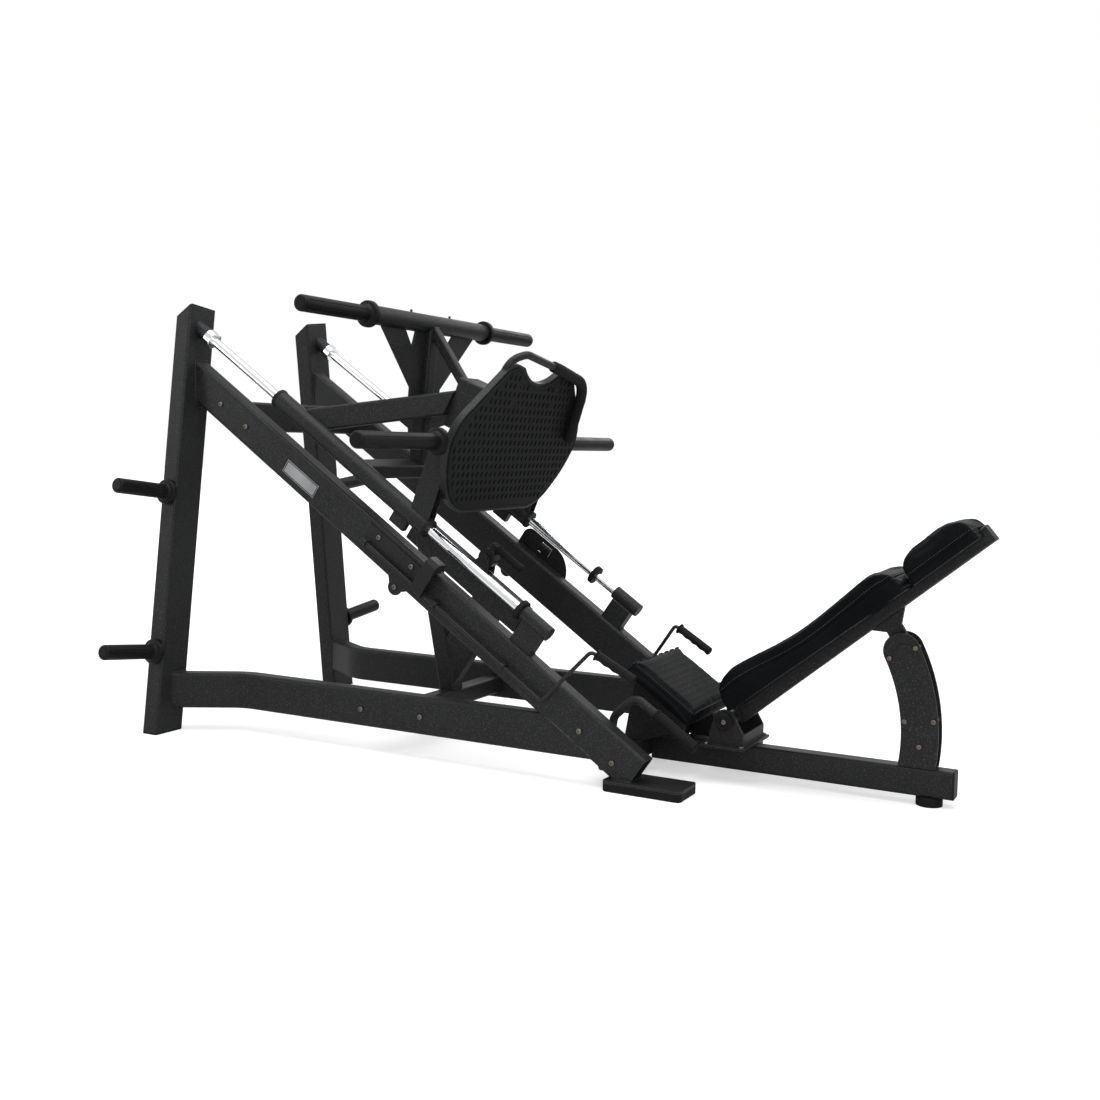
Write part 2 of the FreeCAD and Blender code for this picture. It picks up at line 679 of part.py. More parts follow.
# ---- foot plate ------------------------------------------------------------------------------
def plate_outline(inset, front):
    """Outline of the foot plate: wide at mid height, with a hand notch in its top edge."""
    def point(y, up):
        return on_plate(y, up, front)

    low, high = -244 + inset, 256 - inset
    right = [point(205 - inset, low), point(330 - inset, -172 + inset * 0.5),
             point(404 - inset, -12), point(352 - inset, 98 - inset * 0.4),
             point(212 - inset * 0.3, 240 - inset), point(160 - inset * 0.5, high),
             point(118 + inset * 0.3, high - 8)]
    left = [V(spot.x, -spot.y, spot.z) for spot in right]
    edges = [Part.makeLine(left[0], right[0]),
             Part.Arc(right[0], point(262 - inset, -228 + inset), right[1]).toShape(),
             Part.Arc(right[1], point(381 - inset, -88 + inset * 0.2), right[2]).toShape(),
             Part.Arc(right[2], point(390 - inset, 48 - inset * 0.2), right[3]).toShape(),
             Part.makeLine(right[3], right[4]),
             Part.Arc(right[4], point(190 - inset * 0.5, 251 - inset), right[5]).toShape(),
             Part.makeLine(right[5], right[6]),
             Part.Arc(right[6], point(0, 202 - inset), left[6]).toShape(),
             Part.makeLine(left[6], left[5]),
             Part.Arc(left[5], point(-190 + inset * 0.5, 251 - inset), left[4]).toShape(),
             Part.makeLine(left[4], left[3]),
             Part.Arc(left[3], point(-390 + inset, 48 - inset * 0.2), left[2]).toShape(),
             Part.Arc(left[2], point(-381 + inset, -88 + inset * 0.2), left[1]).toShape(),
             Part.Arc(left[1], point(-262 + inset, -228 + inset), left[0]).toShape()]
    return Part.Face(Part.Wire(edges))


def foot_plate():
    """Steel plate with a rim turned back round its edge, notched for the horn collars."""
    front = on_plate(0, 0, 1) - PLATE_ORIGIN
    outer = plate_outline(0, -PLATE_RIM).extrude(front * PLATE_RIM)
    inner = plate_outline(6, -PLATE_RIM).extrude(front * (PLATE_RIM - PLATE_THICKNESS))
    body = outer.cut(inner).cut(handle_tube()).cut(bracket_outer())
    notch = rod(SIDE_HORN + Y_AXIS * (SIDE_COLLAR_Y - 1), SIDE_HORN + Y_AXIS * 500,
                COLLAR_RADIUS + 1)
    return body.cut(notch).cut(mirrored(notch))


def foot_mat():
    front = on_plate(0, 0, 1) - PLATE_ORIGIN
    return plate_outline(9, 0).extrude(front * MAT_THICKNESS).cut(handle_stay())


HANDLE_FRONT = 26.0        # from the plate to the handle tube's axis
HANDLE_PATH = [(-206, 190, -19), (-214, 262, -12), (-150, 293, 6), (60, 262, HANDLE_FRONT),
               (262, 224, HANDLE_FRONT), (290, 30, HANDLE_FRONT)]


HANDLE_BENDS = [58.0, 58.0, 60.0, 84.0]


def handle_tube():
    """Bent bar from the back of the plate, over the notch and down the right edge."""
    points = [on_plate(*place) for place in HANDLE_PATH]
    return bent_tube(points, 12.5, HANDLE_BENDS)


def handle_stay():
    return rod(on_plate(285, 62, 0), on_plate(285, 62, HANDLE_FRONT), 7.0)


def foot_plate_handle():
    """Handle with a stay behind its grip that stands on the steel plate."""
    return handle_tube().fuse(handle_stay()).removeSplitter()


def foot_plate_grip():
    """Foam tube over the sloping and the lower stretch of the handle."""
    places = [(10, 269.4, 21.2), (60, 262, HANDLE_FRONT), (262, 224, HANDLE_FRONT),
              (292, 16, HANDLE_FRONT)]
    body = bent_tube([on_plate(*place) for place in places], 19.0, HANDLE_BENDS[2:])
    return body.cut(foot_plate_handle())


# ---- release levers --------------------------------------------------------------------------
HOOK_START, HOOK_END = 1300.0, 1344.0
LEVER_START, LEVER_CORNER = 1052.0, 1848.0
GRIP_START, GRIP_END = 1894.0, 2030.0


def right_release_lever():
    """Shaft along the rail, with a hook plate and a bent hand lever, welded together."""
    path = [on_slope(LEVER_START, LEVER_Y, -LEVER_DROP),
            on_slope(LEVER_CORNER, LEVER_Y, -LEVER_DROP),
            on_slope(LEVER_CORNER + 14, LEVER_Y + 14, -100),
            on_slope(LEVER_CORNER + 28, LEVER_Y - 44, 46),
            on_slope(GRIP_END - 4, 301, 58)]
    body = bent_tube(path, LEVER_RADIUS, [16.0, 16.0, 16.0])
    hook = plate([on_slope(HOOK_START, LEVER_Y - 7, -LEVER_DROP - 8),
                  on_slope(HOOK_START, LEVER_Y + 26, -LEVER_DROP - 4),
                  on_slope(HOOK_START, LEVER_Y + 26, -58),
                  on_slope(HOOK_START, LEVER_Y + 14, -44),
                  on_slope(HOOK_START, LEVER_Y - 20, -44),
                  on_slope(HOOK_START, LEVER_Y - 24, -54),
                  on_slope(HOOK_START, LEVER_Y - 20, -76),
                  on_slope(HOOK_START, LEVER_Y + 10, -76),
                  on_slope(HOOK_START, LEVER_Y + 10, -LEVER_DROP + 12),
                  on_slope(HOOK_START, LEVER_Y - 7, -LEVER_DROP + 10)],
                 DOWN * (HOOK_END - HOOK_START))
    return body.fuse(hook).removeSplitter()


def right_release_grip():
    """Ribbed rubber grip on the end of the lever."""
    start = on_slope(GRIP_START, LEVER_Y - 46, 47.6)
    end = on_slope(GRIP_END, 300.6, 58.3)
    return ribbed_grip(start, end, 14.5, 9).cut(right_release_lever())


def eye_bracket(along):
    """Eye that carries the release shaft, on a foot fixed to the rail."""
    middle = on_slope(along, LEVER_Y, -LEVER_DROP)
    ring = rod(middle, middle + DOWN * 14, 11.0)
    face_y = RAIL_Y + RAIL_WIDTH / 2
    foot = bar(on_slope(along, (face_y + LEVER_Y) / 2, -LEVER_DROP),
               on_slope(along + 14, (face_y + LEVER_Y) / 2, -LEVER_DROP),
               LEVER_Y - face_y, 20, 2.0, OUT)
    bore = rod(middle, middle + DOWN * 14, LEVER_RADIUS + GAP)
    return ring.fuse(foot).cut(bore).removeSplitter()


LATCH_THICKNESS = 5.0


def latch_plate():
    """Plate on the rail's outer face, with a rounded ear below the rail."""
    face_y = RAIL_Y + RAIL_WIDTH / 2
    places = [(1045, -104), (1288, -104), (1288, -190), (1262, -214), (1210, -214), (1188, -190),
              (1045, -190)]
    body = plate([on_slope(along, face_y, out) for along, out in places],
                 V(0, LATCH_THICKNESS, 0))
    ear = Part.makeCylinder(26.0, LATCH_THICKNESS, on_slope(1236, face_y, -214), Y_AXIS)
    return body.fuse(ear).removeSplitter()


def release_brackets():
    """Latch plate and three eyes on each rail, as separate pieces."""
    pieces = [latch_plate()]
    eyes = [eye_bracket(along) for along in (1064, 1382, 1678)]
    pieces += [eyes[0].cut(latch_plate()), eyes[1], eyes[2]]
    return group(pieces + [mirrored(piece) for piece in pieces])


GUARD_TOP = -28.0
GUARD_BOTTOM = -104.0
GUARD_THICKNESS = 4.0
GUARD_Y = RAIL_Y + RAIL_WIDTH / 2     # outer face of the rail


def side_guard():
    """Half-round guard above the right rail, with a close window that the hook swings through."""
    y = GUARD_Y
    corner = on_slope(1215, y, GUARD_BOTTOM)
    tip = on_slope(1448, y, GUARD_BOTTOM)
    crest = on_slope(1360, y, GUARD_TOP)
    heel = on_slope(1246, y, GUARD_TOP)
    edges = [Part.makeLine(on_slope(1215, y, -58), corner),
             Part.makeLine(corner, tip),
             Part.Arc(tip, on_slope(1422, y, -58), crest).toShape(),
             Part.makeLine(crest, heel),
             Part.Arc(heel, on_slope(1224, y, -37), on_slope(1215, y, -58)).toShape()]
    body = Part.Face(Part.Wire(edges)).extrude(V(0, GUARD_THICKNESS, 0))
    window = bar(on_slope(HOOK_START - 2, y, -60.5), on_slope(HOOK_END + 2, y, -60.5), 20, 38,
                 3.0, OUT)
    return body.cut(window)


# ---- stop lever on the centre stand ----------------------------------------------------------
STOP_PIVOT = on_slope(1304, 0, STAND_TOP + 44)
STOP_BOLT_RADIUS = 6.0
STOP_CAM_RADIUS = 32.0


def stop_bracket():
    """Two ears on top of the spine, with the pivot bolt through both."""
    ears = []
    for y in (-25, 19):
        base = V(0, y, 0)
        foot = STOP_PIVOT - OUT * 44
        ear = plate([foot - DOWN * 36 + base, foot + DOWN * 36 + base,
                     STOP_PIVOT + DOWN * 13 + OUT * 10 + base,
                     STOP_PIVOT - DOWN * 13 + OUT * 10 + base], V(0, 6, 0))
        ears.append(ear)
    bolt = rod(STOP_PIVOT - Y_AXIS * 30, STOP_PIVOT + Y_AXIS * 30, STOP_BOLT_RADIUS)
    return ears[0].fuse([ears[1], bolt]).removeSplitter()


STOP_STEM_OUT = 42.0       # from the pivot to the stem's axis
STOP_STEM_END = 118.0      # along the slope from the pivot


def stop_lever():
    """Round cam between the ears, with a straight stem for the grip."""
    cam = Part.makeCylinder(STOP_CAM_RADIUS, 36.0, STOP_PIVOT - Y_AXIS * 18, Y_AXIS)
    neck = bar(STOP_PIVOT + OUT * 10, STOP_PIVOT + OUT * (STOP_STEM_OUT + 12), 32, 26, 5.0, DOWN)
    stem = rod(STOP_PIVOT + OUT * STOP_STEM_OUT,
               STOP_PIVOT + OUT * STOP_STEM_OUT + DOWN * STOP_STEM_END, 6.0)
    bore = rod(STOP_PIVOT - Y_AXIS * 40, STOP_PIVOT + Y_AXIS * 40, STOP_BOLT_RADIUS + GAP)
    return cam.fuse([stem, neck]).cut(bore).removeSplitter()


def ribbed_grip(start, end, radius, ribs):
    """Rubber grip with ring-shaped ribs, closed at its end."""
    length = (end - start).Length
    pitch = (length - 16) / ribs
    outline = [(0, 0), (0, radius)]
    for step in range(ribs):
        along = 6 + step * pitch
        outline += [(along, radius), (along + pitch * 0.3, radius - 2.0),
                    (along + pitch * 0.7, radius - 2.0)]
    outline += [(length - 8, radius), (length - 2, radius - 1.5), (length, radius - 4),
                (length, 0)]
    return turned(outline, start, end - start)


def stop_grip():
    start = STOP_PIVOT + OUT * STOP_STEM_OUT + DOWN * 13
    end = start + DOWN * (STOP_STEM_END - 5)
    return ribbed_grip(start, end, 14.0, 8).cut(stop_lever())


# ---- seat ------------------------------------------------------------------------------------
def on_seat(along, y, up):
    return SEAT_FRONT + V(0, y, 0) + DOWN * along + OUT * up


def seat_pad():
    """Upholstered seat with rounded edges."""
    middle_up = -SEAT_THICKNESS / 2
    return bar(on_seat(0, 0, middle_up), on_seat(SEAT_LENGTH, 0, middle_up),
               SEAT_WIDTH, SEAT_THICKNESS, 16.0, OUT)


def seat_frame():
    """Pan under the seat, two side plates and a post on the front cross member."""
    middle_up = -SEAT_THICKNESS - SEAT_PAN / 2
    pan = bar(on_seat(14, 0, middle_up), on_seat(SEAT_LENGTH - 14, 0, middle_up),
              300, SEAT_PAN, 3.0, OUT)
    above = bar(on_seat(-100, 0, middle_up + 60), on_seat(400, 0, middle_up + 60), 400, 120, 1.0, OUT)
    post = bar(V(1700, 0, 60), on_seat(110, 0, middle_up), 60, 70, 8.0, X_AXIS).cut(above)
    sides = []
    for y in (-120, 114):
        sides.append(plate([V(1596, y, CROSS_TOP), V(1644, y, CROSS_TOP), V(1795, y, 150),
                            on_seat(215, y, middle_up),
                            on_seat(20, y, middle_up)], V(0, 6, 0)))
    body = pan.fuse([post] + sides).cut(beam_outer())
    return biggest(body).removeSplitter()


HANDLE_Y = 250.0
SEAT_HANDLE_BENDS = [34.0, 34.0]


def handle_path():
    """Side handle beside the seat: up from the cross member, then down beside the seat."""
    return [V(1602, HANDLE_Y, 60), V(1622, HANDLE_Y, 196), V(1690, HANDLE_Y, 262),
            V(1878, HANDLE_Y, 134)]


def seat_handles():
    body = bent_tube(handle_path(), 12.5, SEAT_HANDLE_BENDS)
    return pair(biggest(body.cut(box(V(1500, 0, 0), V(1700, 400, CROSS_TOP)))))


def seat_handle_grips():
    """Rubber grips with a closed end on the side handles."""
    path = handle_path()
    axis = (path[3] - path[2]).normalize()
    start = path[3] - axis * 150
    end = path[3] + axis * 6
    grip = rod(start, end, 17.0)
    grip = grip.makeFillet(4.0, [edge for edge in grip.Edges if edge.Length > 100])
    return pair(grip.cut(bent_tube(path, 12.5, SEAT_HANDLE_BENDS)))


# ---- back rest -------------------------------------------------------------------------------
def backrest_bracket():
    """Base plate on the beam, two cheeks with round tops, and a cross plate."""
    top = BEAM_Z + BEAM_HEIGHT
    base = box(V(1842, -115, top), V(1980, 115, top + 8))
    cross = box(V(1962, -CHEEK_Y, top + 8), V(1968, CHEEK_Y, 150))
    cheeks = []
    for y in (-CHEEK_Y - 8, CHEEK_Y):
        web = plate([V(1862, y, top + 8), V(1968, y, top + 8), V(1968, y, 150),
                     V(1945, y, 190), V(1875, y, 190), V(1862, y, 150)], V(0, 8, 0))
        eye = Part.makeCylinder(36.0, 8.0, V(PIVOT.x, y, PIVOT.z), Y_AXIS)
        cheeks.append(web.fuse(eye))
    bore = rod(PIVOT - Y_AXIS * 150, PIVOT + Y_AXIS * 150, AXLE_RADIUS)
    return base.fuse([cross] + cheeks).cut(bore).removeSplitter()


def backrest_axle():
    """Plain axle through both cheeks."""
    reach = CHEEK_Y + 12
    return rod(PIVOT - Y_AXIS * reach, PIVOT + Y_AXIS * reach, AXLE_RADIUS)


def axle_caps():
    """Round plastic cap over each end of the axle."""
    cap = rod(PIVOT + Y_AXIS * (CHEEK_Y + 8), PIVOT + Y_AXIS * (CHEEK_Y + 20), 26.0)
    cap = cap.makeFillet(3.0, [edge for edge in cap.Edges
                               if edge.BoundBox.YMin > CHEEK_Y + 19.9])
    return pair(cap.cut(backrest_axle()))


def backrest_tube():
    """Square tube on a pivot sleeve, with a closed upper end and four seats for the pads."""
    middle = -BACK_TUBE_DROP + BACK_TUBE_HEIGHT / 2
    up = on_back(0, 0, 1) - PIVOT
    tube = hollow(on_back(14, 0, middle), on_back(BACK_TUBE_END, 0, middle),
                  BACK_TUBE_WIDTH, BACK_TUBE_HEIGHT, 8.0, up)
    lid = bar(on_back(BACK_TUBE_END, 0, middle), on_back(BACK_TUBE_END + 4, 0, middle),
              BACK_TUBE_WIDTH, BACK_TUBE_HEIGHT, 8.0, up)
    sleeve_y = CHEEK_Y - 1
    hub = rod(PIVOT - Y_AXIS * sleeve_y, PIVOT + Y_AXIS * sleeve_y, 24.0)
    bore = rod(PIVOT - Y_AXIS * 150, PIVOT + Y_AXIS * 150, AXLE_RADIUS + GAP)
    seats = [bar(on_back(along, 0, BACK_TUBE_TOP - 1), on_back(along, 0, BACK_TUBE_TOP + PAD_SEAT),
                 68, 50, 4.0, on_back(1, 0, 0) - PIVOT) for along in (150, 520, 740, 870)]
    body = tube.fuse([lid, hub] + seats).cut(bore)
    return body.removeSplitter()


def pad_solid(side, width, channel_width):
    """Pad with a smooth side outline and rounded long edges, hollowed where the tube runs."""
    half = width / 2
    curve = Part.BSplineCurve()
    curve.interpolate([on_back(along, -half, up) for along, up in side])
    base = Part.makeLine(on_back(side[-1][0], -half, side[-1][1]),
                         on_back(side[0][0], -half, side[0][1]))
    body = Part.Face(Part.Wire([curve.toShape(), base])).extrude(V(0, width, 0))
    long_edges = [edge for edge in body.Edges if edge.Length > width + 30
                  and edge.BoundBox.YLength < 1
                  and abs(edge.Length - base.Length) > 1]
    body = body.makeFillet(12.0, long_edges)
    reach = channel_width / 2
    roof = BACK_TUBE_TOP + PAD_SEAT
    channel = plate([on_back(-60, -reach, -60), on_back(1100, -reach, -60),
                     on_back(1100, -reach, roof), on_back(-60, -reach, roof)],
                    V(0, channel_width, 0))
    return biggest(body.cut(channel))


def back_pad():
    side = [(46, 14), (44, 50), (58, 88), (92, 107), (132, 109), (240, 94), (350, 81),
            (440, 81), (520, 84), (590, 87), (640, 83), (668, 63), (677, 30), (677, -2)]
    return pad_solid(side, 296.0, 72.0)


def head_pad():
    side = [(691, -3), (690, 26), (695, 56), (718, 75), (770, 80), (830, 82), (872, 77),
            (903, 59), (912, 30), (912, -4)]
    return pad_solid(side, 250.0, 72.0)


def adjuster_arm():
    """Curved arm that flares into the back rest tube, with a row of holes for the pin."""
    low, high = 2.5, 38.0
    depth = 8.0

    def ring_point(radius, degrees):
        return around_pivot(radius, degrees, -depth)

    middle = (low + high) / 2
    edges = [Part.Arc(ring_point(ARM_INNER, low), ring_point(ARM_INNER, middle),
                      ring_point(ARM_INNER, high)).toShape(),
             Part.makeLine(ring_point(ARM_INNER, high), ring_point(ARM_OUTER, high)),
             Part.Arc(ring_point(ARM_OUTER, high), ring_point(ARM_OUTER, middle),
                      ring_point(ARM_OUTER, low)).toShape(),
             Part.makeLine(ring_point(ARM_OUTER, low), ring_point(ARM_INNER, low))]
    body = Part.Face(Part.Wire(edges)).extrude(V(0, 2 * depth, 0))
    middle_up = -BACK_TUBE_DROP + BACK_TUBE_HEIGHT / 2
    tube = bar(on_back(14, 0, middle_up), on_back(BACK_TUBE_END, 0, middle_up),
               BACK_TUBE_WIDTH, BACK_TUBE_HEIGHT, 8.0, on_back(0, 0, 1) - PIVOT)
    body = biggest(body.cut(tube))
    underside = -BACK_TUBE_DROP
    for flare in ([(497, underside), (536, underside), (534, -64)],
                  [(574, underside), (614, underside), (576, -64)]):
        body = body.fuse(plate([on_back(along, -depth, up) for along, up in flare],
                               V(0, 2 * depth, 0)))
    body = body.removeSplitter()
    for step in range(5):
        centre = around_pivot(PIN_R, PIN_ANGLE - step * HOLE_STEP, -20)
        body = body.cut(rod(centre, centre + Y_AXIS * 40, PIN_RADIUS + 0.5))
    return body


SHELL_INNER_Y, SHELL_OUTER_Y = 22.0, 28.0


def sector_plate():
    """Right plate of the curved case that the adjuster arm slides in."""
    y = SHELL_INNER_Y
    low, high = -14.0, PIN_ANGLE + 0.6
    middle = (low + high) / 2
    radius = (SECTOR_INNER + SECTOR_OUTER) / 2
    crown = high + math.degrees((SECTOR_OUTER - SECTOR_INNER) / 2 / radius)
    edges = [Part.Arc(around_pivot(SECTOR_INNER, low, y), around_pivot(SECTOR_INNER, middle, y),
                      around_pivot(SECTOR_INNER, high, y)).toShape(),
             Part.Arc(around_pivot(SECTOR_INNER, high, y), around_pivot(radius, crown, y),
                      around_pivot(SECTOR_OUTER, high, y)).toShape(),
             Part.Arc(around_pivot(SECTOR_OUTER, high, y), around_pivot(SECTOR_OUTER, middle, y),
                      around_pivot(SECTOR_OUTER, low, y)).toShape(),
             Part.makeLine(around_pivot(SECTOR_OUTER, low, y), around_pivot(SECTOR_INNER, low, y))]
    body = Part.Face(Part.Wire(edges)).extrude(V(0, SHELL_OUTER_Y - SHELL_INNER_Y, 0))
    boss = rod(around_pivot(PIN_R, PIN_ANGLE, SHELL_OUTER_Y),
               around_pivot(PIN_R, PIN_ANGLE, SHELL_OUTER_Y + 5), 24.0)
    below = box(V(2000, -100, -200), V(2800, 100, BEAM_Z + BEAM_HEIGHT))
    return body.fuse(boss).cut(below).removeSplitter()


def arc_plates():
    right = sector_plate()
    centre = around_pivot(PIN_R, PIN_ANGLE, 0)
    bored = right.cut(rod(centre, centre + Y_AXIS * 80, PIN_RADIUS + GAP))
    return group([bored, mirrored(right)])


def sector_bolts():
    """Through bolts with spacers that hold the two plates apart."""
    pieces = []
    places = [(510, PIN_ANGLE), (589, PIN_ANGLE), (509, 5.5), (589, 5.5), (550, -1.9)]
    for radius, degrees in places:
        inner = around_pivot(radius, degrees, SHELL_INNER_Y)
        spacer = rod(around_pivot(radius, degrees, -SHELL_INNER_Y), inner, 7.0)
        pieces.append(spacer)
        for side in (-1, 1):
            seat = around_pivot(radius, degrees, side * SHELL_OUTER_Y)
            pieces.append(bolt_head(seat, V(0, side, 0), 7.5, 5.0))
    return pieces


def adjuster_pin():
    """Sprung pin, drawn back, with a round knob outside the right plate."""
    tip = around_pivot(PIN_R, PIN_ANGLE, 9.5)
    pin = rod(tip, around_pivot(PIN_R, PIN_ANGLE, 66), PIN_RADIUS)
    knob = turned([(0, 0), (0, 9), (4, 10), (10, 20), (16, 23), (24, 23), (30, 18), (32, 0)],
                  around_pivot(PIN_R, PIN_ANGLE, 54), Y_AXIS)
    return pin.fuse(knob).removeSplitter()


# ---- fasteners and badges --------------------------------------------------------------------
def name_plates():
    """Blank badge on the outer face of each rail."""
    face_y = RAIL_Y + RAIL_WIDTH / 2 + 1
    badge = bar(on_slope(662, face_y, -155), on_slope(814, face_y, -155), 2, 46, 0.5, OUT)
    return pair(badge)


def frame_bolts():
    """Button-head screws on the outer faces of the frame."""
    face_y = RAIL_Y + RAIL_WIDTH / 2
    spots = [on_slope(along, face_y, out) for along, out in
             ((319, -148), (452, -148), (1990, -158), (2124, -164))]
    spots += [V(768, face_y, 136), V(997, face_y, 137)]
    spots += [on_slope(along, face_y + LATCH_THICKNESS, -122) for along in (1100, 1250)]
    spots += [on_slope(1236, face_y + LATCH_THICKNESS, -214)]
    heads = [bolt_head(spot, Y_AXIS) for spot in spots]
    top = BEAM_Z + BEAM_HEIGHT + 8
    base = [bolt_head(V(x, 103, top), Z_AXIS, 8.0, 5.5) for x in (1856, 1966)]
    guard = [bolt_head(on_slope(along, GUARD_Y + GUARD_THICKNESS, -97), Y_AXIS, 6.0, 4.0)
             for along in (1240, 1400)]
    pieces = heads + base
    return group(pieces + [mirrored(piece) for piece in pieces] + guard + sector_bolts())


# ---- build -----------------------------------------------------------------------------------
def build_nodes():
    """All nodes by name."""
    post, rail, base_rail = right_post(), right_rail(), right_base_rail()
    lever, grip = right_release_lever(), right_release_grip()
    return {
        "left_post": mirrored(post),
        "right_post": post,
        "tube_caps": tube_caps(),
        "left_rail": mirrored(rail),
        "right_rail": rail,
        "left_base_rail": mirrored(base_rail),
        "right_base_rail": base_rail,
        "front_foot_plates": pair(front_foot_plate()),
        "front_foot_pads": pair(front_foot_pad()),
        "cross_members": cross_members(),
        "centre_stand": centre_stand(),
        "centre_beam": centre_beam(),
        "beam_foot": beam_foot(),
        "guide_rods": guide_rods(),
        "rod_sockets": rod_sockets(),
        "shaft_collars": shaft_collars(),
        "rod_bumpers": rod_bumpers(),
        "storage_horns": storage_horns(),
        "storage_sleeves": storage_sleeves(),
        "name_plates": name_plates(),
        "frame_bolts": frame_bolts(),
        "release_brackets": release_brackets(),
        "side_guard": side_guard(),
        "stop_bracket": stop_bracket(),
        "seat_frame": seat_frame(),
        "seat_pad": seat_pad(),
        "seat_handles": seat_handles(),
        "seat_handle_grips": seat_handle_grips(),
        "backrest_bracket": backrest_bracket(),
        "backrest_axle": backrest_axle(),
        "axle_caps": axle_caps(),
        "arc_plates": arc_plates(),
        "bearing_housings": bearing_housings(),
        "linear_bushings": linear_bushings(),
        "rod_wipers": rod_wipers(),
        "carriage_arms": carriage_arms(),
        "carriage_cross_tube": carriage_cross_tube(),
        "carriage_struts": carriage_struts(),
        "foot_plate_bracket": foot_plate_bracket(),
        "foot_plate": foot_plate(),
        "foot_mat": foot_mat(),
        "foot_plate_handle": foot_plate_handle(),
        "foot_plate_grip": foot_plate_grip(),
        "horn_mast": horn_mast(),
        "mast_gussets": mast_gussets(),
        "mast_brace": mast_brace(),
        "top_horn_bar": top_horn_bar(),
        "side_horn_bar": side_horn_bar(),
        "horn_sleeves": horn_sleeves(),
        "left_release_lever": mirrored(lever),
        "right_release_lever": lever,
        "left_release_grip": mirrored(grip),
        "right_release_grip": grip,
        "stop_lever": stop_lever(),
        "stop_grip": stop_grip(),
        "backrest_tube": backrest_tube(),
        "back_pad": back_pad(),
        "head_pad": head_pad(),
        "adjuster_arm": adjuster_arm(),
        "adjuster_pin": adjuster_pin(),
    }


def main():
    nodes = build_nodes()
    whole = Part.makeCompound(list(nodes.values())).BoundBox
    shift = V(-(whole.XMin + whole.XMax) / 2, 0, 0)
    os.makedirs("parts", exist_ok=True)
    for name, shape in nodes.items():
        shape.translate(shift)
        shape.exportStep("parts/" + name + ".step")
    print(len(nodes), "nodes, moved by", shift)


main()
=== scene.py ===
"""Looks of the plate-loaded leg press: materials, upholstery, grips, mat, welds and light.

Everything is in metres in the part's own frame: x runs from the posts to the back rest, z is up.
"""
import json
import math

import bmesh
import bpy
from mathutils import Matrix, Vector, noise
from mathutils.bvhtree import BVHTree


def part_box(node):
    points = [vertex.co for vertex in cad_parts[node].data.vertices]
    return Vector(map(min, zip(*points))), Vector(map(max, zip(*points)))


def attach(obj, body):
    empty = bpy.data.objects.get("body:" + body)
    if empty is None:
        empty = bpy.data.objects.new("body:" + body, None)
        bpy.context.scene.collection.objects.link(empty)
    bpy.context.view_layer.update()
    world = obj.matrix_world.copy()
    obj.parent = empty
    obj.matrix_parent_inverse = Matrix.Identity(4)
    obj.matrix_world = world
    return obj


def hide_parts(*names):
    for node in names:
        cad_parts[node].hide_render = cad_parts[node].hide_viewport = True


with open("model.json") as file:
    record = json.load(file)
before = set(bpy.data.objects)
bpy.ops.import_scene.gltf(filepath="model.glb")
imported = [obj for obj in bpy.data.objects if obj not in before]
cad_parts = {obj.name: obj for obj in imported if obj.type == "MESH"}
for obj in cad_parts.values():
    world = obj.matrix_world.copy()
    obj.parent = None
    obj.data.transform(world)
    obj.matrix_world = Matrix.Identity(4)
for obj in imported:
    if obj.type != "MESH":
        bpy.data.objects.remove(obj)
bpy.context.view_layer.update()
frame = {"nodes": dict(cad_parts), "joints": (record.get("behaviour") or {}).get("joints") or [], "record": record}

X_AXIS = Vector((1, 0, 0))
Y_AXIS = Vector((0, 1, 0))
Z_AXIS = Vector((0, 0, 1))
JOINTS = {joint["name"]: joint for joint in frame["joints"]}
DOWN = Vector(JOINTS["carriage_slide"]["axis"]).normalized()
OUT = Vector((-DOWN.z, 0, DOWN.x))
PIVOT = Vector(JOINTS["backrest_hinge"]["pos_m"])
BACK_ANGLE = math.radians(39.9)
BACK_ALONG = Vector((math.cos(BACK_ANGLE), 0, math.sin(BACK_ANGLE)))
BACK_UP = Vector((-math.sin(BACK_ANGLE), 0, math.cos(BACK_ANGLE)))
PLATE_TILT = math.radians(21.7)
PLATE_UP = Vector((math.sin(PLATE_TILT), 0, math.cos(PLATE_TILT)))
PLATE_FRONT = Vector((math.cos(PLATE_TILT), 0, -math.sin(PLATE_TILT)))
MM = 0.001


